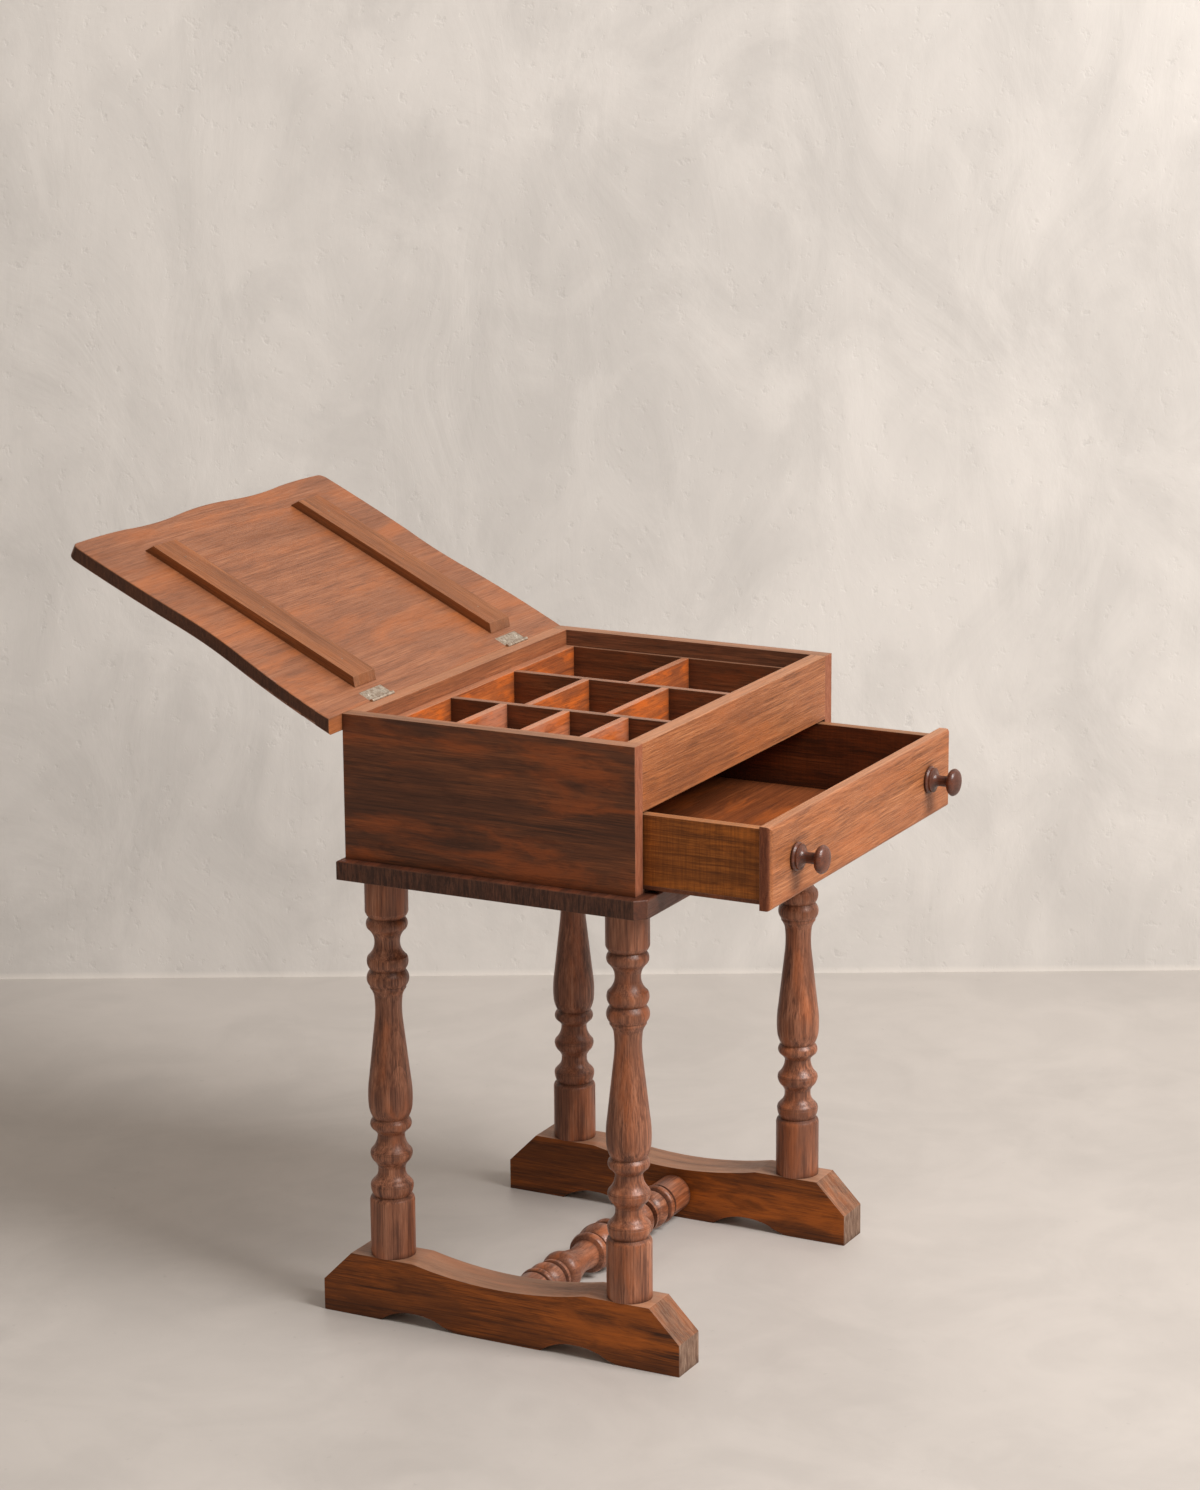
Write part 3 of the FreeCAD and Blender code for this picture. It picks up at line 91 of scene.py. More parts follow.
def feed(tree, socket, value):
    """A number or colour set on a socket, or another socket linked to it."""
    if isinstance(value, bpy.types.NodeSocket):
        tree.links.new(value, socket)
    else:
        socket.default_value = value


def add_node(tree, kind, inputs=None, **settings):
    """A node with its settings and its inputs, by name or by number."""
    item = tree.nodes.new(kind)
    for name, value in settings.items():
        setattr(item, name, value)
    for name, value in (inputs or {}).items():
        feed(tree, item.inputs[name], value)
    return item


def blank_material(name):
    material = bpy.data.materials.new(name)
    material.use_nodes = True
    tree = material.node_tree
    tree.nodes.clear()
    shader = add_node(tree, "ShaderNodeBsdfPrincipled")
    output = add_node(tree, "ShaderNodeOutputMaterial", {"Surface": shader.outputs["BSDF"]})
    return material, tree, shader, output


def object_place(tree):
    return add_node(tree, "ShaderNodeTexCoord").outputs["Object"]


def maths(tree, operation, first, second=0.0, third=0.0):
    return add_node(tree, "ShaderNodeMath", {0: first, 1: second, 2: third}, operation=operation).outputs[0]


def times(tree, first, second):
    return maths(tree, "MULTIPLY", first, second)


def add_share(tree, base, value, share):
    """A share of a value, added to a base."""
    return maths(tree, "MULTIPLY_ADD", value, share, base)


def spread(tree, value, low, high, to_low=0.0, to_high=1.0, smooth=False):
    """A value brought from one range to another and held there."""
    item = add_node(tree, "ShaderNodeMapRange", {"Value": value, "From Min": low, "From Max": high,
                    "To Min": to_low, "To Max": to_high}, clamp=True,
                    interpolation_type="SMOOTHSTEP" if smooth else "LINEAR")
    return item.outputs["Result"]


def blend(tree, amount, first, second):
    """One colour laid over another by an amount."""
    item = add_node(tree, "ShaderNodeMix", data_type="RGBA", blend_type="MIX", clamp_factor=True)
    for index, value in ((0, amount), (6, first), (7, second)):
        feed(tree, item.inputs[index], value)
    return item.outputs[2]


def vector_maths(tree, operation, inputs):
    return add_node(tree, "ShaderNodeVectorMath", inputs, operation=operation)


def mapped(tree, place, scale=(1, 1, 1), shift=(0, 0, 0), turn=(0, 0, 0)):
    return add_node(tree, "ShaderNodeMapping", {"Vector": place, "Scale": scale, "Location": shift,
                    "Rotation": turn}).outputs["Vector"]


def noise(tree, place, scale, detail, rough, warp=0.0):
    return add_node(tree, "ShaderNodeTexNoise", {"Vector": place, "Scale": scale, "Detail": detail,
                    "Roughness": rough, "Distortion": warp})


def grain_noise(tree, place, cycles, detail, rough, warp=0.0, shift=(0, 0, 0)):
    """Noise with its own number of cycles in a metre along each axis."""
    return noise(tree, mapped(tree, place, cycles, shift), 1.0, detail, rough, warp)


def set_bump(tree, shader, strength, distance, height, normal=None):
    inputs = {"Strength": strength, "Distance": distance, "Height": height}
    if normal is not None:
        inputs["Normal"] = normal
    bump = add_node(tree, "ShaderNodeBump", inputs)
    tree.links.new(bump.outputs["Normal"], shader.inputs["Normal"])


# The stage: a screed floor, a plaster wall behind, and one large soft lamp to the right. Lengths in metres.

AHEAD = Vector((-math.sin(HEADING), math.cos(HEADING), 0))
ACROSS = Vector((math.cos(HEADING), math.sin(HEADING), 0))
WALL_AWAY = 4.9
WALL_TOP = 5.0
STAGE_REACH = 9.0
STAGE_DEPTH = 14.4
LAMP_AIM = Vector((0, -0.05, 0.45))
LAMP_RIGHT, LAMP_NEARER, LAMP_UP = 2.8, 1.8, 3.0
LAMP_SIZE, LAMP_WATTS, LAMP_COLOUR = 2.2, 262, (1.0, 0.985, 0.97)
ROOM_COLOUR, ROOM_STRENGTH = (236, 226, 213), 0.4
SCREED = dict(colour=(190, 183, 177), mottle=0.085, rough=0.48, relief=0.04)
WALL_PLASTER = dict(colour=(212, 207, 202), mottle=0.13, rough=0.9, relief=0.2)
# The wall turns paler along its foot, in a band a few millimetres high.
FOOT_PALE_COLOUR, FOOT_PALE_AMOUNT = (238, 231, 223), 0.5
FOOT_PALE_FULL, FOOT_PALE_GONE = 0.002, 0.009
CLOUD_SHARE, STROKE_SHARE, SWEEP_SHARE = 0.42, 0.38, 0.2
LIGHTER_SHARE = 0.8
PIT_DARKNESS, PIT_AMOUNT = 0.7, 0.3
SWEEP_HEIGHT, PIT_HEIGHT, PLASTER_RELIEF = 0.4, -0.15, 0.008


def plaster_colour(tree, look, clouds, strokes, sweeps, pits):
    strokes_tone = times(tree, spread(tree, strokes, 0.38, 0.62, smooth=True), STROKE_SHARE)
    tone = add_share(tree, strokes_tone, spread(tree, clouds, 0.4, 0.6, smooth=True), CLOUD_SHARE)
    tone = add_share(tree, tone, spread(tree, sweeps, 0.4, 0.62), SWEEP_SHARE)
    dark = linear(*look["colour"], gain=1 - look["mottle"])
    light = linear(*look["colour"], gain=1 + look["mottle"] * LIGHTER_SHARE)
    pitted = spread(tree, pits, 0.69, 0.74, 0.0, PIT_AMOUNT)
    return blend(tree, pitted, blend(tree, tone, dark, light), linear(*look["colour"], gain=PIT_DARKNESS))


def plaster(name, look):
    """Trowelled plaster or polished screed: pale clouds, sweeping strokes, fine scratches and pits."""
    material, tree, shader, output = blank_material(name)
    place = object_place(tree)
    clouds = noise(tree, place, 1.5, 7.0, 0.6, 0.5).outputs["Fac"]
    stroked = mapped(tree, place, (1.5, 1.5, 1.1), (4, 1, 2))
    strokes = noise(tree, stroked, 3.4, 9.0, 0.58, 1.3).outputs["Fac"]
    swept = mapped(tree, place, (1.2, 1.2, 0.5), (7, 2, 1), (0.0, 0.5, 0.4))
    sweeps = noise(tree, swept, 9.0, 8.0, 0.62, 1.2).outputs["Fac"]
    pits = noise(tree, place, 60.0, 3.0, 0.6).outputs["Fac"]
    feed(tree, shader.inputs["Base Color"], plaster_colour(tree, look, clouds, strokes, sweeps, pits))
    shader.inputs["Roughness"].default_value = look["rough"]
    height = add_share(tree, strokes, sweeps, SWEEP_HEIGHT)
    height = add_share(tree, height, spread(tree, pits, 0.6, 0.72), PIT_HEIGHT)
    set_bump(tree, shader, look["relief"], PLASTER_RELIEF, height)
    return material, tree, shader, output


def wall_plaster():
    """The wall's plaster: paler along its foot, and nothing to be seen of it from behind."""
    material, tree, shader, output = plaster("wall_plaster", WALL_PLASTER)
    above_floor = add_node(tree, "ShaderNodeSeparateXYZ", {0: object_place(tree)}).outputs["Z"]
    paler_foot = spread(tree, above_floor, FOOT_PALE_FULL, FOOT_PALE_GONE, FOOT_PALE_AMOUNT, 0.0)
    painted = shader.inputs["Base Color"].links[0].from_socket
    tree.links.new(blend(tree, paler_foot, painted, linear(*FOOT_PALE_COLOUR)), shader.inputs["Base Color"])
    from_behind = add_node(tree, "ShaderNodeNewGeometry").outputs["Backfacing"]
    clear = add_node(tree, "ShaderNodeBsdfTransparent").outputs["BSDF"]
    either = add_node(tree, "ShaderNodeMixShader", {0: from_behind, 1: shader.outputs["BSDF"], 2: clear})
    tree.links.new(either.outputs[0], output.inputs["Surface"])
    return material


def stage_sheet(name, corners, material):
    mesh = bpy.data.meshes.new(name)
    mesh.from_pydata([tuple(corner) for corner in corners], [], [tuple(range(len(corners)))])
    mesh.materials.append(material)
    sheet = bpy.data.objects.new(name, mesh)
    bpy.context.scene.collection.objects.link(sheet)


def set_lamp():
    data = bpy.data.lights.new("window_lamp", "AREA")
    data.shape = "DISK"
    data.size = LAMP_SIZE
    data.energy = LAMP_WATTS
    data.color = LAMP_COLOUR
    lamp = bpy.data.objects.new("window_lamp", data)
    lamp.location = LAMP_AIM + ACROSS * LAMP_RIGHT - AHEAD * LAMP_NEARER + Vector((0, 0, LAMP_UP))
    lamp.rotation_mode = "QUATERNION"
    lamp.rotation_quaternion = (LAMP_AIM - lamp.location).to_track_quat("-Z", "Y")
    lamp.visible_camera = False
    bpy.context.scene.collection.objects.link(lamp)


def set_stage():
    wall_foot = Vector((EYE.x, EYE.y, 0)) + AHEAD * WALL_AWAY
    left, right = wall_foot - ACROSS * STAGE_REACH, wall_foot + ACROSS * STAGE_REACH
    near_left, near_right = left - AHEAD * STAGE_DEPTH, right - AHEAD * STAGE_DEPTH
    rise = Vector((0, 0, WALL_TOP))
    stage_sheet("floor", (near_left, near_right, right, left), plaster("screed", SCREED)[0])
    stage_sheet("wall", (left, right, right + rise, left + rise), wall_plaster())
    set_lamp()
    world = bpy.data.worlds.new("room")
    world.use_nodes = True
    world.node_tree.nodes["Background"].inputs["Color"].default_value = linear(*ROOM_COLOUR)
    world.node_tree.nodes["Background"].inputs["Strength"].default_value = ROOM_STRENGTH
    bpy.context.scene.world = world


set_stage()

# Wood. Its pattern is worked out in space, so faces, ends and turnings show one and the same plank. x runs
# along the grain, and the heart of the tree is the x axis.

RING_TO_WAVE = 0.314159
RING_SHARPNESS = 1.6
DRIFT = dict(cycles=(2.2, 7.0, 7.0), detail=2.5, rough=0.5)
FADING = dict(cycles=(5.0, 32.0, 32.0), detail=2.0, rough=0.5)
FADE_LOW, FADE_HIGH, FADED_LEFT = 0.36, 0.62, 0.15

# Each noise: the place it follows, how it is drawn, the part of its range that counts, and whether that part
# eases in and out. "bent" wanders with the rings, "stained" has the size of the stain's patches, and "straight"
# does neither.
PLANK_NOISES = {
    "Streaks": ("bent", dict(cycles=(3.5, 120.0, 120.0), detail=4.0, rough=0.6),
                (0.3, 0.7), False),
    "Fibres": ("bent", dict(cycles=(22.0, 800.0, 800.0), detail=3.0, rough=0.65),
               (0.3, 0.7), False),
    "Clouds": ("stained", dict(cycles=(6.0, 22.0, 22.0), detail=6.0, rough=0.62, warp=0.5),
               (0.36, 0.64), True),
    "Patches": ("stained", dict(cycles=(7.5, 34.0, 34.0), detail=6.0, rough=0.6, warp=0.5,
                shift=(3.7, 1.9, 5.3)), (0.46, 0.66), True),
    "Mottles": ("stained", dict(cycles=(14.0, 80.0, 80.0), detail=5.0, rough=0.65, warp=0.6),
                (0.5, 0.72), True),
    "Pores": ("straight", dict(cycles=(60.0, 1100.0, 1100.0), detail=2.0, rough=0.5),
              (0.56, 0.7), False),
    "Saw": ("straight", dict(cycles=(620.0, 9.0, 30.0), detail=3.0, rough=0.6),
            (0.4, 0.62), False),
    "End": ("straight", dict(cycles=(12.0, 420.0, 60.0), detail=5.0, rough=0.65, warp=0.8),
            (0.42, 0.68), False),
}


def make_plank_pattern():
    """Growth rings round x, streaks, fibres and pores along x, and an uneven stain in clouds and mottles."""
    tree = bpy.data.node_groups.new("plank_pattern", "ShaderNodeTree")
    tree.interface.new_socket("Place", in_out="INPUT", socket_type="NodeSocketVector")
    for name, value in (("Ring Width", 0.004), ("Wander", 0.01), ("Patch Scale", 1.0)):
        tree.interface.new_socket(name, in_out="INPUT", socket_type="NodeSocketFloat").default_value = value
    for name in ("Rings", *PLANK_NOISES):
        tree.interface.new_socket(name, in_out="OUTPUT", socket_type="NodeSocketFloat")
    take = tree.nodes.new("NodeGroupInput").outputs
    give = tree.nodes.new("NodeGroupOutput").inputs
    place = take["Place"]
    drift = grain_noise(tree, place, **DRIFT).outputs["Color"]
    centred = vector_maths(tree, "SUBTRACT", {0: drift, 1: (0.5, 0.5, 0.5)}).outputs[0]
    moved = vector_maths(tree, "SCALE", {0: centred, "Scale": take["Wander"]}).outputs[0]
    bent = vector_maths(tree, "ADD", {0: place, 1: moved}).outputs[0]
    wave = add_node(tree, "ShaderNodeTexWave", {"Vector": bent, "Distortion": 0.0,
                    "Scale": maths(tree, "DIVIDE", RING_TO_WAVE, take["Ring Width"])},
                    wave_type="RINGS", rings_direction="X", wave_profile="SAW")
    rings = maths(tree, "POWER", wave.outputs["Fac"], RING_SHARPNESS)
    faded = grain_noise(tree, bent, **FADING).outputs["Fac"]
    rings = times(tree, rings, spread(tree, faded, FADE_LOW, FADE_HIGH, FADED_LEFT, 1.0))
    tree.links.new(rings, give["Rings"])
    stained = vector_maths(tree, "SCALE", {0: place, "Scale": take["Patch Scale"]}).outputs[0]
    places = {"bent": bent, "stained": stained, "straight": place}
    for name, (follows, drawn, (low, high), smooth) in PLANK_NOISES.items():
        value = grain_noise(tree, places[follows], **drawn).outputs["Fac"]
        tree.links.new(spread(tree, value, low, high, smooth=smooth), give[name])
    return tree


PLANK = make_plank_pattern()
LID_LEAN = math.radians(25.9)

# How a texture turns so that its x runs along the grain.
GRAIN_TURN = {
    "x": (0.0, 0.0, 0.0),
    "y": (0.0, 0.0, -math.pi / 2),
    "z": (0.0, math.pi / 2, 0.0),
}
# The way that the grain runs in the object.
GRAIN_WAY = {
    "x": (1.0, 0.0, 0.0),
    "y": (0.0, 1.0, 0.0),
    "z": (0.0, 0.0, 1.0),
    "lid": (0.0, math.cos(LID_LEAN), math.sin(LID_LEAN)),
}
UPWARD = (0, 0, 1)


def grain_place(tree, middle, along, heart):
    """Object coordinates from the middle of a piece, turned along its grain, the tree's heart moved off."""
    place = mapped(tree, object_place(tree), shift=tuple(-part for part in middle))
    if along == "lid":
        place = mapped(tree, place, turn=(-LID_LEAN, 0, 0))
        along = "y"
    place = mapped(tree, place, turn=GRAIN_TURN[along])
    return mapped(tree, place, shift=heart)


def worn_edges(tree, radius):
    """1 on an arris, 0 on a face, and the normal that rounds the arris."""
    round_normal = add_node(tree, "ShaderNodeBevel", {"Radius": radius}, samples=4).outputs["Normal"]
    plain = add_node(tree, "ShaderNodeNewGeometry").outputs["Normal"]
    same = vector_maths(tree, "DOT_PRODUCT", {0: round_normal, 1: plain}).outputs["Value"]
    return spread(tree, same, 0.995, 0.86), round_normal


def looks_along(tree, way, low, high):
    """1 where a face looks along a way of the object, 0 where it looks across it; the sign doesn't count."""
    normal = add_node(tree, "ShaderNodeTexCoord").outputs["Normal"]
    along = vector_maths(tree, "DOT_PRODUCT", {0: normal, 1: way}).outputs["Value"]
    return spread(tree, maths(tree, "ABSOLUTE", along), low, high)


# What all the woods share: where the light, middle and dark colours stand in the grain, how much darker than
# the dark colour each mark is, and the weight of each pattern in the wear, the sheen and the relief.
LIGHT_AT, MIDDLE_AT, DARK_AT = 0.12, 0.5, 0.88
# The last of these gains sets how dark the painted shade in corners and grooves is.
MOTTLE_GAIN, SAW_GAIN, PORE_GAIN, PAINTED_SHADE_GAIN = 0.8, 0.7, 0.6, 0.45
END_FULL = 0.93
# Painted light on upper faces: where a face that looks up starts and ends taking the lighter top colour, and
# how much the streaks break it up.
TOP_FROM, TOP_FULL, TOP_LIGHT_BREAK = 0.8, 0.95, -0.45
WEAR_NOISE = dict(scale=45.0, detail=4.0, rough=0.7)
WEAR_LOW, WEAR_HIGH, WEAR_PATCHES, WEAR_LEAST = 0.38, 0.62, 0.7, 0.25
# Painted shade: the ambient occlusion below which the painted shade in corners is full.
PAINTED_SHADE_CLOSED = 0.4
FIBRE_DULLING, MARK_DULLING, END_DULLING = 0.16, 0.15, 0.2
RING_HEIGHT, FIBRE_HEIGHT, PORE_HEIGHT, STREAK_HEIGHT = 0.25, 0.5, -0.4, 0.2
GRAIN_RELIEF = 0.6 * MM


def plank_of(tree, place, look):
    """The plank pattern at a place, with the look's own rings and stain."""
    plank = add_node(tree, "ShaderNodeGroup", node_tree=PLANK)
    for name, value in (("Place", place), ("Ring Width", look["ring"]), ("Wander", look["wander"]),
                        ("Patch Scale", look["patch_scale"])):
        feed(tree, plank.inputs[name], value)
    return plank.outputs


def over(tree, colour, amount, strength, paint, gain=1.0):
    """A paint laid over a colour, by an amount that varies and a strength that doesn't."""
    return blend(tree, times(tree, amount, strength), colour, linear(*paint, gain=gain))


def stained_colour(tree, plank, look):
    """The grain in three colours, and over it the stain, its warm patches, mottles, saw marks and pores."""
    tone = times(tree, plank["Rings"], look["rings"])
    tone = add_share(tree, tone, plank["Streaks"], look["streaks"])
    tone = add_share(tree, tone, plank["Fibres"], look["fibres"])
    ramp = add_node(tree, "ShaderNodeValToRGB", {"Fac": tone})
    stops = ramp.color_ramp.elements
    stops[0].position, stops[0].color = LIGHT_AT, linear(*look["light"])
    stops[1].position, stops[1].color = DARK_AT, linear(*look["dark"])
    stops.new(MIDDLE_AT).color = linear(*look["middle"])
    colour = over(tree, ramp.outputs["Color"], plank["Clouds"], look["stain_amount"], look["stain"])
    colour = over(tree, colour, plank["Patches"], look["glow_amount"], look["glow"])
    colour = over(tree, colour, plank["Mottles"], look["mottle_amount"], look["dark"], MOTTLE_GAIN)
    colour = over(tree, colour, plank["Saw"], look["saw_amount"], look["dark"], SAW_GAIN)
    return over(tree, colour, plank["Pores"], look["pore_amount"], look["dark"], PORE_GAIN)


def edge_wear(tree, place, edge):
    patches = spread(tree, noise(tree, place, **WEAR_NOISE).outputs["Fac"], WEAR_LOW, WEAR_HIGH)
    return times(tree, edge, maths(tree, "MULTIPLY_ADD", patches, WEAR_PATCHES, WEAR_LEAST))


# Painted shade: 1 where ambient occlusion finds a corner or groove close by, as shade would fall there, 0 in
# the open.
def corner_painted_shade(tree, look):
    hidden = add_node(tree, "ShaderNodeAmbientOcclusion", {"Distance": look["shade_reach"] * MM},
                      samples=6, only_local=False).outputs["AO"]
    return spread(tree, hidden, PAINTED_SHADE_CLOSED, look["shade_open"], 1.0, 0.0)


# Painted light: faces that look up take the look's lighter top colour, broken up by the streaks.
def painted_top_light(tree, streaks, look):
    broken_light = maths(tree, "MULTIPLY_ADD", streaks, TOP_LIGHT_BREAK, 1.0)
    upper = times(tree, looks_along(tree, UPWARD, TOP_FROM, TOP_FULL), broken_light)
    return times(tree, upper, look["top_light_amount"])


def wood(name, node, along, look, heart):
    """Stained softwood for one node: rings, streaks and stain, worn arrises, painted shade in corners, painted
    light on tops, and sheen.
    """
    low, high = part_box(node)
    material, tree, shader, _ = blank_material(name)
    place = grain_place(tree, (low + high) / 2, along, heart)
    plank = plank_of(tree, place, look)
    edge, round_normal = worn_edges(tree, look["edge_round"] * MM)
    wear = edge_wear(tree, place, edge)
    end_grain = looks_along(tree, GRAIN_WAY[along], look["end_from"], END_FULL)

    ends = over(tree, linear(*look["end"]), plank["End"], look["end_streak"], look["end_light"])
    colour = blend(tree, times(tree, end_grain, look["end_amount"]), stained_colour(tree, plank, look), ends)
    colour = over(tree, colour, wear, look["wear_amount"], look["worn"])
    # Painted shade in corners and grooves, laid on the colour.
    colour = over(tree, colour, corner_painted_shade(tree, look), look["shade_amount"], look["dark"], PAINTED_SHADE_GAIN)
    # Painted light on the upper faces.
    if "top" in look:
        colour = blend(tree, painted_top_light(tree, plank["Streaks"], look), colour, linear(*look["top"]))
    feed(tree, shader.inputs["Base Color"], colour)

    rough = maths(tree, "MULTIPLY_ADD", plank["Fibres"], FIBRE_DULLING, look["rough"] - FIBRE_DULLING / 2)
    rough = add_share(tree, rough, maths(tree, "MAXIMUM", wear, plank["Mottles"]), MARK_DULLING)
    feed(tree, shader.inputs["Roughness"], add_share(tree, rough, end_grain, END_DULLING))
    shader.inputs["Specular IOR Level"].default_value = look["gloss"]

    relief = add_share(tree, times(tree, plank["Fibres"], FIBRE_HEIGHT), plank["Rings"], RING_HEIGHT)
    relief = add_share(tree, relief, plank["Pores"], PORE_HEIGHT)
    relief = add_share(tree, relief, plank["Streaks"], STREAK_HEIGHT)
    set_bump(tree, shader, look["relief"], GRAIN_RELIEF, relief, round_normal)
    return material


def finish_node(node, material):
    """The material in every slot of a CAD node."""
    mesh = NODES[node].data
    for index in range(len(mesh.materials)):
        mesh.materials[index] = material


# The looks. light, middle and dark colour the grain; stain and glow lie over it in clouds and patches; worn is
# bare wood at the arrises, top the painted light on upper faces, and end and end_light the end grain. Lengths
# are in metres for the rings and their wander, and in millimetres for the rounded edges and the reach of the
# painted shade in corners.

BASE = dict(
    ring=0.0042, wander=0.014, rings=0.24, streaks=0.5, fibres=0.5, patch_scale=1.0,
    stain_amount=0.55, glow_amount=0.45, mottle_amount=0.3, pore_amount=0.35, saw_amount=0.0,
    worn=(186, 134, 100), wear_amount=0.5, edge_round=1.2,
    end=(52, 30, 22), end_light=(112, 70, 50), end_streak=0.6, end_amount=0.6, end_from=0.7,
    shade_reach=9, shade_open=0.9, shade_amount=0.55, rough=0.46, gloss=0.35, relief=0.3)
SIDE = dict(
    BASE, light=(146, 83, 46), middle=(110, 62, 35), dark=(63, 36, 22),
    stain=(75, 43, 27), stain_amount=0.65, glow=(166, 82, 32), glow_amount=0.65, mottle_amount=0.5,
    worn=(168, 120, 92), wear_amount=0.6, end=(136, 76, 50), end_light=(188, 122, 90), end_amount=0.8,
    rough=0.5, top=(190, 138, 104), top_light_amount=0.55)
FAR_SIDE = dict(
    SIDE, light=(164, 107, 74), middle=(131, 84, 58), dark=(82, 52, 37),
    glow_amount=0.25, shade_amount=0.35)
RIM = dict(
    SIDE, light=(182, 116, 76), middle=(150, 92, 58), dark=(102, 60, 38), stain=(128, 76, 50),
    top=(196, 138, 102), top_light_amount=0.7, shade_reach=5, shade_amount=0.35, glow_amount=0.4)
FRONT = dict(
    BASE, ring=0.0034, light=(192, 127, 83), middle=(160, 98, 58), dark=(106, 61, 35), relief=0.5,
    fibres=0.66, streaks=0.38, mottle_amount=0.16, stain=(146, 86, 52), stain_amount=0.5, glow=(182, 104, 54),
    end=(90, 40, 22), end_light=(150, 84, 54), end_amount=0.85, worn=(210, 156, 118), wear_amount=0.7,
    rough=0.5, top=(206, 152, 116), top_light_amount=0.5)
LID = dict(
    BASE, ring=0.0046, rings=0.18, streaks=0.34, patch_scale=0.7, mottle_amount=0.12,
    light=(167, 109, 74), middle=(141, 87, 57), dark=(102, 61, 39),
    stain=(115, 70, 46), stain_amount=0.5, glow=(172, 98, 50), glow_amount=0.55,
    end=(52, 29, 20), end_light=(96, 60, 42), end_amount=0.85, rough=0.4, shade_amount=0.45)
BATTEN = dict(
    LID, ring=0.003, light=(166, 102, 58), middle=(136, 80, 42), dark=(90, 51, 27),
    stain=(112, 64, 34), stain_amount=0.45, glow=(160, 88, 38), glow_amount=0.35,
    end=(96, 68, 52), end_light=(150, 122, 102), end_amount=0.6)
INSIDE = dict(
    BASE, ring=0.0035, light=(206, 116, 60), middle=(176, 93, 46), dark=(112, 57, 32), patch_scale=2.2,
    stain=(124, 72, 47), stain_amount=0.6, glow=(216, 108, 40), glow_amount=0.7, mottle_amount=0.45,
    worn=(200, 154, 124), wear_amount=0.7, rough=0.4, shade_amount=0.65, shade_reach=16,
    end=(110, 60, 42), end_amount=0.4, top=(190, 138, 108), top_light_amount=0.65)
# Painted shade: a darker copy of the inside look, for the right liner and the long dividers, whose faces look
# along x and lie in shade.
SHADED_INSIDE = dict(
    INSIDE, light=(158, 100, 64), middle=(123, 74, 45), dark=(77, 45, 29), stain=(94, 57, 37),
    glow=(148, 78, 40), glow_amount=0.4, top=(178, 130, 104))
PALE_INSIDE = dict(
    INSIDE, stain=(190, 126, 98), stain_amount=0.8, glow_amount=0.5)
CELL_FLOOR = dict(
    BASE, light=(160, 90, 54), middle=(132, 72, 42), dark=(92, 50, 31), patch_scale=2.0, rough=0.42,
    stain=(112, 62, 40), stain_amount=0.6, glow=(166, 86, 42), shade_reach=30, shade_amount=0.7)
BASE_BOARD = dict(
    BASE, ring=0.0038, light=(126, 76, 54), middle=(98, 56, 39), dark=(56, 32, 23), mottle_amount=0.5,
    stain=(80, 46, 32), stain_amount=0.6, glow=(144, 74, 44), worn=(156, 114, 90), wear_amount=0.7,
    end=(50, 30, 22), end_light=(116, 74, 54), end_streak=0.75, end_amount=0.85, rough=0.45)
LEG = dict(
    BASE, ring=0.0036, wander=0.008, rings=0.18, streaks=0.54, fibres=0.56, patch_scale=1.3,
    light=(190, 132, 102), middle=(152, 97, 70), dark=(82, 47, 33), mottle_amount=0.5,
    stain=(106, 62, 43), stain_amount=0.6, glow=(174, 96, 52), glow_amount=0.5, rough=0.36, gloss=0.4,
    shade_reach=6, shade_open=0.97, shade_amount=0.9, worn=(190, 140, 110), wear_amount=0.3, edge_round=0.25,
    end_amount=0.2, relief=0.22)
FOOT = dict(
    BASE, ring=0.0045, light=(178, 96, 32), middle=(142, 74, 22), dark=(62, 32, 13), patch_scale=0.8,
    stain=(84, 44, 18), stain_amount=0.7, glow=(190, 100, 30), glow_amount=0.65, mottle_amount=0.6,
    end=(98, 72, 58), end_light=(184, 156, 134), end_amount=0.95, end_from=0.42,
    worn=(168, 120, 90), rough=0.42, gloss=0.25, top=(190, 150, 124), top_light_amount=0.65)
DRAWER_SIDE = dict(
    BASE, ring=0.003, light=(186, 112, 46), middle=(154, 86, 30), dark=(94, 50, 18), saw_amount=0.35,
    stain=(118, 64, 22), stain_amount=0.55, glow=(200, 112, 38), glow_amount=0.65, mottle_amount=0.45,
    patch_scale=1.6, rough=0.5, gloss=0.25, top=(194, 142, 102), top_light_amount=0.5)
DRAWER_FAR = dict(
    DRAWER_SIDE, light=(124, 66, 34), middle=(92, 46, 24), dark=(54, 27, 15), stain=(66, 33, 18),
    glow=(120, 58, 26), saw_amount=0.2)
DRAWER_FLOOR = dict(
    BASE, ring=0.0055, light=(172, 100, 58), middle=(146, 80, 44), dark=(104, 56, 32), patch_scale=1.3,
    stain=(122, 66, 38), glow=(190, 100, 46), glow_amount=0.6, rough=0.38, shade_reach=34, shade_amount=0.75)
KNOB = dict(
    LEG, light=(130, 76, 56), middle=(100, 57, 42), dark=(60, 34, 26), stain=(78, 44, 33), glow=(128, 70, 46),
    rough=0.28, worn=(156, 110, 90), shade_amount=0.7, edge_round=0.6)
RUNNER = dict(
    INSIDE, light=(150, 100, 66), middle=(122, 78, 50), dark=(84, 52, 34), stain=(110, 70, 46),
    glow=(150, 92, 54))

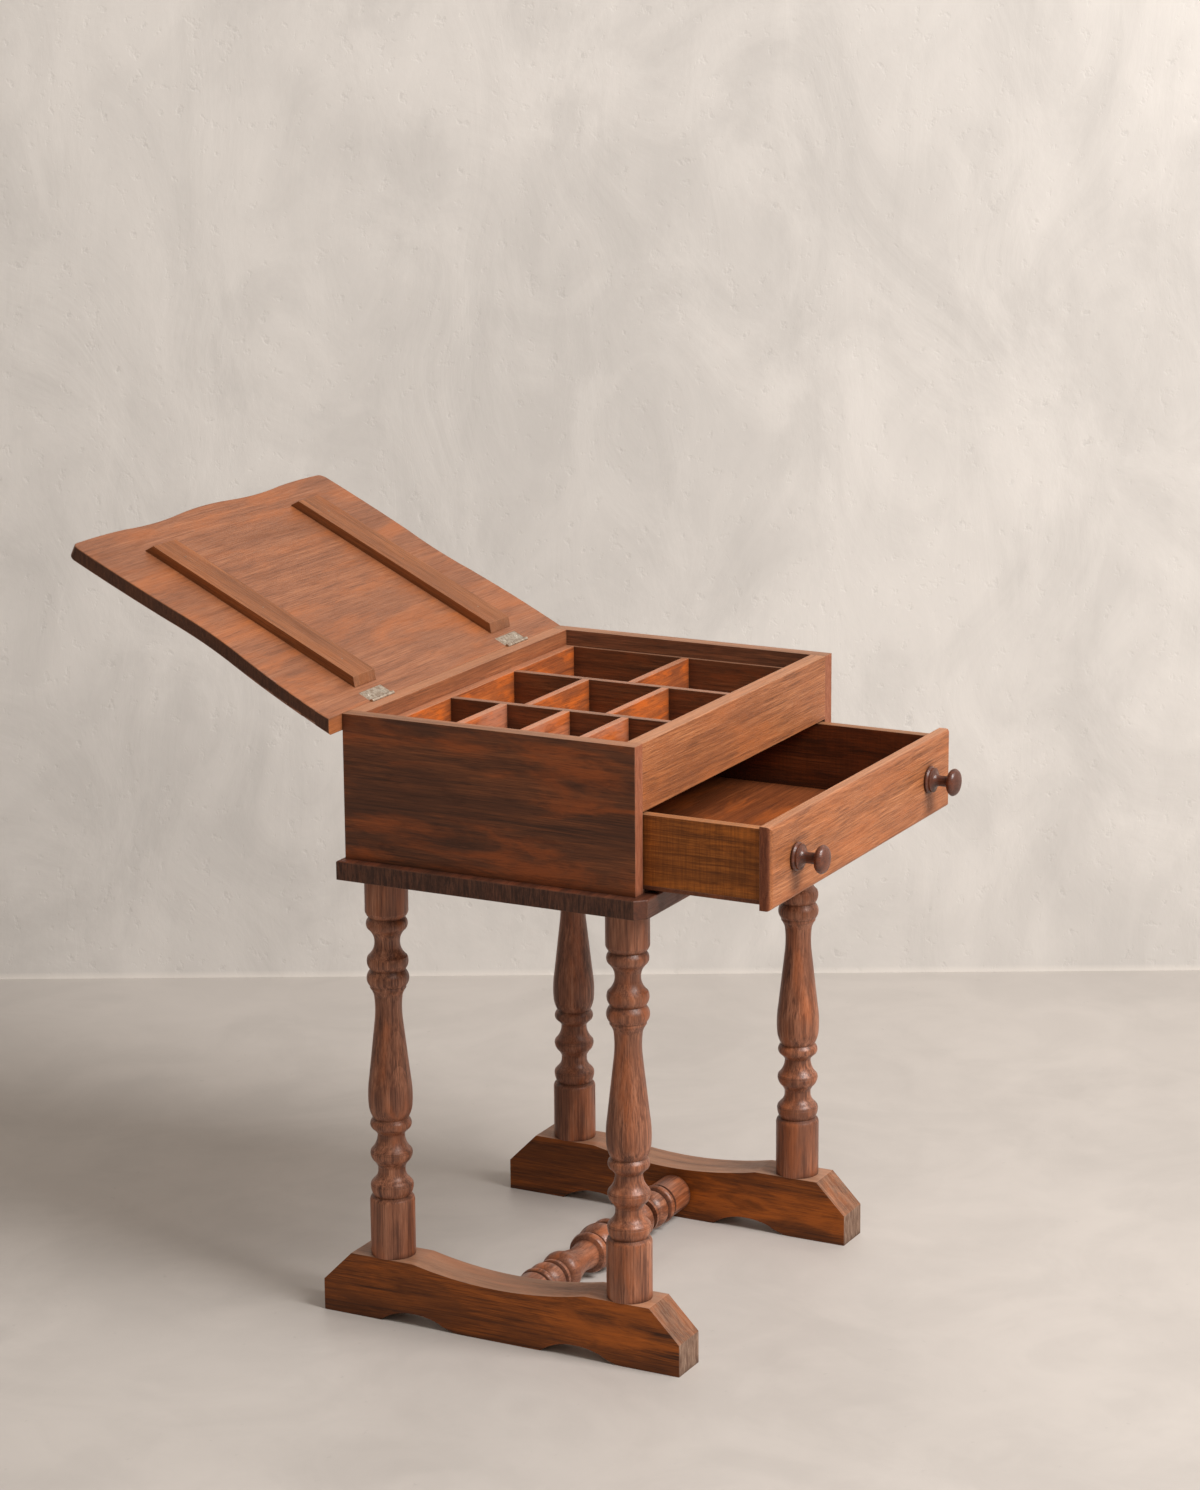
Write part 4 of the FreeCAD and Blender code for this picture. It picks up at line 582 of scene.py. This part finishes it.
# Each node: the way its grain runs, its look, and where the tree's heart lies from its middle.
WOODEN = {
    "left_side": ("y", SIDE, (0.0, 0.035, -0.055)),
    "right_side": ("y", FAR_SIDE, (0.31, -0.05, 0.05)),
    "back_board": ("x", RIM, (0.57, 0.05, 0.041)),
    "front_rail": ("x", FRONT, (0.13, 0.06, 0.05)),
    "compartment_floor": ("x", CELL_FLOOR, (0.71, 0.05, 0.09)),
    "front_liner": ("x", INSIDE, (0.2, 0.04, 0.03)),
    "back_liner": ("x", INSIDE, (0.4, -0.04, 0.03)),
    "left_liner": ("y", INSIDE, (0.6, 0.04, -0.03)),
    # The right liner and the long dividers take the darker copy of the inside look: painted shade.
    "right_liner": ("y", SHADED_INSIDE, (0.8, 0.05, 0.02)),
    "long_divider_left": ("y", SHADED_INSIDE, (1.1, 0.05, 0.03)),
    "long_divider_right": ("y", SHADED_INSIDE, (1.3, -0.05, 0.02)),
    "cross_divider_left_back": ("x", PALE_INSIDE, (1.5, 0.04, 0.03)),
    "cross_divider_left_middle": ("x", PALE_INSIDE, (1.7, -0.04, 0.02)),
    "cross_divider_left_front": ("x", PALE_INSIDE, (1.9, 0.03, 0.04)),
    "cross_divider_middle_back": ("x", INSIDE, (2.1, 0.05, 0.02)),
    "cross_divider_middle_front": ("x", INSIDE, (2.3, -0.03, 0.03)),
    "cross_divider_right": ("x", INSIDE, (2.5, 0.04, 0.02)),
    "base_board": ("x", BASE_BOARD, (0.3, 0.08, 0.06)),
    "left_runner": ("y", RUNNER, (0.1, 0.03, 0.02)),
    "right_runner": ("y", RUNNER, (0.7, 0.03, 0.02)),
    "drawer_front": ("x", FRONT, (0.9, 0.05, -0.06)),
    "drawer_left_side": ("y", DRAWER_SIDE, (0.2, 0.06, 0.04)),
    "drawer_right_side": ("y", DRAWER_FAR, (0.8, -0.05, 0.05)),
    "drawer_back": ("x", DRAWER_FAR, (1.4, 0.05, 0.03)),
    "drawer_bottom": ("x", DRAWER_FLOOR, (0.5, 0.07, 0.05)),
    "left_knob": ("y", KNOB, (0.1, 0.006, 0.004)),
    "right_knob": ("y", KNOB, (0.4, -0.005, 0.007)),
    "lid_board": ("x", LID, (0.2, 0.12, -0.1)),
    "left_batten": ("lid", BATTEN, (0.4, 0.03, -0.03)),
    "right_batten": ("lid", BATTEN, (0.9, -0.04, 0.03)),
    "leg_front_left": ("z", LEG, (0.1, 0.016, 0.022)),
    "leg_back_left": ("z", LEG, (0.6, -0.021, 0.013)),
    "leg_front_right": ("z", LEG, (1.2, 0.02, -0.018)),
    "leg_back_right": ("z", LEG, (1.8, -0.014, -0.024)),
    "stretcher": ("x", LEG, (0.5, 0.02, 0.017)),
    "left_foot": ("y", FOOT, (0.0, 0.04, -0.05)),
    "right_foot": ("y", FOOT, (0.8, -0.03, 0.06)),
}


def finish_woodwork():
    for node, (along, look, heart) in WOODEN.items():
        finish_node(node, wood(f"{node}_finish", node, along, look, heart))


finish_woodwork()

# Metal.

TARNISH_NOISE = dict(scale=240.0, detail=4.0, rough=0.6)
BRUSH_LINES = dict(cycles=(300, 3000, 3000), detail=2.0, rough=0.55)
TARNISH_LOW, TARNISH_HIGH, TARNISH_DULLING = 0.4, 0.62, 0.25
METAL_EDGE, METAL_RELIEF, METAL_BUMP = 0.25 * MM, 0.2 * MM, 0.2


def metal(name, colour, rough, tarnish, tarnish_amount):
    """Old steel or brass: brushed, dulled in clouds and scratched."""
    material, tree, shader, _ = blank_material(name)
    place = object_place(tree)
    clouds = spread(tree, noise(tree, place, **TARNISH_NOISE).outputs["Fac"], TARNISH_LOW, TARNISH_HIGH)
    lines = grain_noise(tree, place, **BRUSH_LINES).outputs["Fac"]
    feed(tree, shader.inputs["Base Color"], over(tree, linear(*colour), clouds, tarnish_amount, tarnish))
    shader.inputs["Metallic"].default_value = 1.0
    feed(tree, shader.inputs["Roughness"], maths(tree, "MULTIPLY_ADD", clouds, TARNISH_DULLING, rough))
    _, round_normal = worn_edges(tree, METAL_EDGE)
    set_bump(tree, shader, METAL_BUMP, METAL_RELIEF, lines, round_normal)
    return material


HINGE_STEEL = metal("hinge_steel", (208, 196, 180), 0.3, (118, 86, 62), 0.6)
PIN_STEEL = metal("pin_steel", (196, 174, 132), 0.3, (110, 84, 54), 0.5)
SCREW_STEEL = metal("screw_steel", (222, 214, 200), 0.22, (140, 122, 98), 0.4)
NAIL_IRON = metal("nail_iron", (164, 150, 136), 0.4, (84, 64, 52), 0.55)

for leaf in ("lid_leaf_left", "lid_leaf_right", "back_leaf_left", "back_leaf_right"):
    finish_node(leaf, HINGE_STEEL)
for pin in ("hinge_pin_left", "hinge_pin_right"):
    finish_node(pin, PIN_STEEL)

# Screws and nails: one tree makes a head and shank, cuts a slot, and sets one at every place. Sizes are in
# millimetres. The shank reaches halfway up into the head.

SHANK_IN_HEAD = 0.5
HEAD_SIDES, SHANK_SIDES = 28, 20
TWIST_SEED = 7
HINGE_SCREW = {"Head Radius": 2.6, "Head Height": 1.3, "Shank Radius": 1.3, "Length": 10.0,
               "Slot Width": 0.7, "Slot Depth": 0.6}
BASE_SCREW = {"Head Radius": 4.4, "Head Height": 2.2, "Shank Radius": 2.2, "Length": 38.0,
              "Slot Width": 1.1, "Slot Depth": 1.0}
BATTEN_NAIL = {"Head Radius": 0.9, "Head Height": 0.6, "Shank Radius": 0.85, "Length": 18.0, "Slotted": False}
DRAWER_NAIL = dict(BATTEN_NAIL, Length=16.0)


def make_fastener_tree():
    """A slotted screw or a plain nail, its head flush with z = 0, set at each point and turned to face its way.

    It is made in millimetres and brought to metres before it is set. The head's top is one flat face: a part
    that touches it at a single point spoils the exact cuts.
    """
    tree = bpy.data.node_groups.new("fastener", "GeometryNodeTree")
    tree.interface.new_socket("Places", in_out="INPUT", socket_type="NodeSocketGeometry")
    for name, value in HINGE_SCREW.items():
        tree.interface.new_socket(name, in_out="INPUT", socket_type="NodeSocketFloat").default_value = value
    tree.interface.new_socket("Slotted", in_out="INPUT", socket_type="NodeSocketBool").default_value = True
    tree.interface.new_socket("Metal", in_out="INPUT", socket_type="NodeSocketMaterial")
    tree.interface.new_socket("Fasteners", in_out="OUTPUT", socket_type="NodeSocketGeometry")
    take = tree.nodes.new("NodeGroupInput").outputs
    give = tree.nodes.new("NodeGroupOutput").inputs

    def down(length):
        return add_node(tree, "ShaderNodeCombineXYZ", {"Z": times(tree, length, -1.0)}).outputs[0]

    def placed(part, inputs):
        return add_node(tree, "GeometryNodeTransform", {"Geometry": part, **inputs}).outputs[0]

    neck = add_node(tree, "GeometryNodeMeshCone", {"Vertices": HEAD_SIDES, "Radius Top": take["Head Radius"],
                    "Radius Bottom": take["Shank Radius"], "Depth": take["Head Height"]})
    head = placed(neck.outputs["Mesh"], {"Translation": down(take["Head Height"])})
    shank_length = maths(tree, "SUBTRACT", take["Length"], times(tree, take["Head Height"], SHANK_IN_HEAD))
    shank = add_node(tree, "GeometryNodeMeshCone", {"Vertices": SHANK_SIDES, "Radius Top": take["Shank Radius"],
                     "Radius Bottom": take["Shank Radius"], "Depth": shank_length})
    body = placed(shank.outputs["Mesh"], {"Translation": down(take["Length"])})
    solid = add_node(tree, "GeometryNodeMeshBoolean", operation="UNION", solver="EXACT")
    for part in (head, body):
        tree.links.new(part, solid.inputs["Mesh 2"])
    blade_size = add_node(tree, "ShaderNodeCombineXYZ", {"X": times(tree, take["Head Radius"], 3.0),
                          "Y": take["Slot Width"], "Z": times(tree, take["Slot Depth"], 2.0)})
    blade = add_node(tree, "GeometryNodeMeshCube", {"Size": blade_size.outputs[0]})
    slotted = add_node(tree, "GeometryNodeMeshBoolean", {"Mesh 1": solid.outputs[0]}, operation="DIFFERENCE",
                       solver="EXACT")
    tree.links.new(blade.outputs["Mesh"], slotted.inputs["Mesh 2"])
    chosen = add_node(tree, "GeometryNodeSwitch", {"Switch": take["Slotted"], "False": solid.outputs[0],
                      "True": slotted.outputs[0]}, input_type="GEOMETRY")
    sized = placed(chosen.outputs[0], {"Scale": (MM, MM, MM)})
    facing = add_node(tree, "GeometryNodeInputNamedAttribute", {"Name": "facing"}, data_type="FLOAT_VECTOR")
    upright = add_node(tree, "FunctionNodeAlignRotationToVector", {"Vector": facing.outputs[0]}, axis="Z")
    twist = add_node(tree, "FunctionNodeRandomValue", {"Seed": TWIST_SEED}, data_type="FLOAT")
    low_twist, high_twist = (socket for socket in twist.inputs if socket.type == "VALUE" and socket.enabled)
    low_twist.default_value, high_twist.default_value = 0.0, math.pi
    twist_value = next(socket for socket in twist.outputs if socket.enabled)
    about = add_node(tree, "FunctionNodeAxisAngleToRotation", {"Axis": (0, 0, 1), "Angle": twist_value})
    turned = add_node(tree, "FunctionNodeRotateRotation", {0: upright.outputs[0], 1: about.outputs[0]},
                      rotation_space="LOCAL")
    spots = add_node(tree, "GeometryNodeMeshToPoints", {"Mesh": take["Places"]})
    set_out = add_node(tree, "GeometryNodeInstanceOnPoints", {"Points": spots.outputs[0], "Instance": sized,
                       "Rotation": turned.outputs[0]})
    whole = add_node(tree, "GeometryNodeRealizeInstances", {"Geometry": set_out.outputs[0]})
    painted = add_node(tree, "GeometryNodeSetMaterial", {"Geometry": whole.outputs[0],
                       "Material": take["Metal"]})
    tree.links.new(painted.outputs[0], give["Fasteners"])
    return tree


FASTENER = make_fastener_tree()


def set_fasteners(name, node, body, places, way, sizes, metal_finish):
    """Fasteners of one size, in place of one CAD node, with their heads facing one way."""
    mesh = bpy.data.meshes.new(f"{name}_places")
    mesh.from_pydata([tuple(place) for place in places], [], [])
    ways = mesh.attributes.new("facing", "FLOAT_VECTOR", "POINT")
    for spot in ways.data:
        spot.vector = way
    maker = bpy.data.objects.new(f"{name}_maker", mesh)
    bpy.context.scene.collection.objects.link(maker)
    modifier = maker.modifiers.new("fastener", "NODES")
    modifier.node_group = FASTENER
    identifiers = {item.name: item.identifier for item in FASTENER.interface.items_tree
                   if item.in_out == "INPUT"}
    for word, value in sizes.items():
        modifier[identifiers[word]] = value
    modifier[identifiers["Metal"]] = metal_finish
    bpy.context.view_layer.update()
    shown = maker.evaluated_get(bpy.context.evaluated_depsgraph_get())
    made = bpy.data.meshes.new_from_object(shown)
    made.name = name
    bpy.data.objects.remove(maker)
    piece = bpy.data.objects.new(name, made)
    bpy.context.scene.collection.objects.link(piece)
    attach(piece, body)
    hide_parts(node)


# Where they stand, in millimetres. On the lid, x runs along the pin, back away from it, and out of its inner
# face.
PIN_LINE = Vector((2.74, 91.83, 626.15))
LID_BACKWARD = Vector((0, math.cos(LID_LEAN), math.sin(LID_LEAN)))
LID_OUTWARD = Vector((0, -math.sin(LID_LEAN), math.cos(LID_LEAN)))
LID_INNER = -0.15
BATTEN_THICK = 9.0
HINGE_MIDDLES = (-144.0, 134.0)
HINGE_SCREW_STEP = 12.5
HINGE_SCREW_LINE = 8.0
BATTEN_NAIL_X = 139.0
BATTEN_NAIL_BACK = (58.0, 158.5, 259.0)
BOX_MIDDLE = Vector((6.74, -67.32, 0))
BASE_UNDER = 461.0
BASE_SCREW_X, BASE_SCREW_STEP = 217.0, 92.0
DRAWER_UNDER = 484.0
DRAWER_NAIL_X = 202.0
DRAWER_NAIL_Y = (-288.52, -208.52, -128.52)


def on_lid(x, back, out):
    """A place on the open lid."""
    return PIN_LINE + Vector((x, 0, 0)) + LID_BACKWARD * back + LID_OUTWARD * out


def set_all_fasteners():
    backward, downward = Vector((0, 1, 0)), Vector((0, 0, -1))
    hinge_x = [middle + step for middle in HINGE_MIDDLES for step in (-HINGE_SCREW_STEP, HINGE_SCREW_STEP)]
    in_lid = [on_lid(x, HINGE_SCREW_LINE, LID_INNER) for x in hinge_x]
    in_back = [PIN_LINE + Vector((x, LID_INNER, -HINGE_SCREW_LINE)) for x in hinge_x]
    in_base = [BOX_MIDDLE + Vector((BASE_SCREW_X * side, BASE_SCREW_STEP * step, BASE_UNDER))
               for side in (-1, 1) for step in (-1, 0, 1)]
    in_battens = [on_lid(BATTEN_NAIL_X * side, back, LID_INNER + BATTEN_THICK)
                  for side in (-1, 1) for back in BATTEN_NAIL_BACK]
    in_drawer = [Vector((BOX_MIDDLE.x + DRAWER_NAIL_X * side, y, DRAWER_UNDER))
                 for side in (-1, 1) for y in DRAWER_NAIL_Y]
    for name, node, body, places, way, sizes, metal_finish in (
            ("lid_hinge_screws", "lid_leaf_screws", "lid", in_lid, LID_OUTWARD, HINGE_SCREW, SCREW_STEEL),
            ("back_hinge_screws", "back_leaf_screws", "stand", in_back, backward, HINGE_SCREW, SCREW_STEEL),
            ("board_screws", "base_screws", "stand", in_base, downward, BASE_SCREW, SCREW_STEEL),
            ("lid_nails", "batten_nails", "lid", in_battens, LID_OUTWARD, BATTEN_NAIL, NAIL_IRON),
            ("bottom_nails", "drawer_nails", "drawer", in_drawer, downward, DRAWER_NAIL, NAIL_IRON)):
        set_fasteners(name, node, body, [place * MM for place in places], way, sizes, metal_finish)


set_all_fasteners()
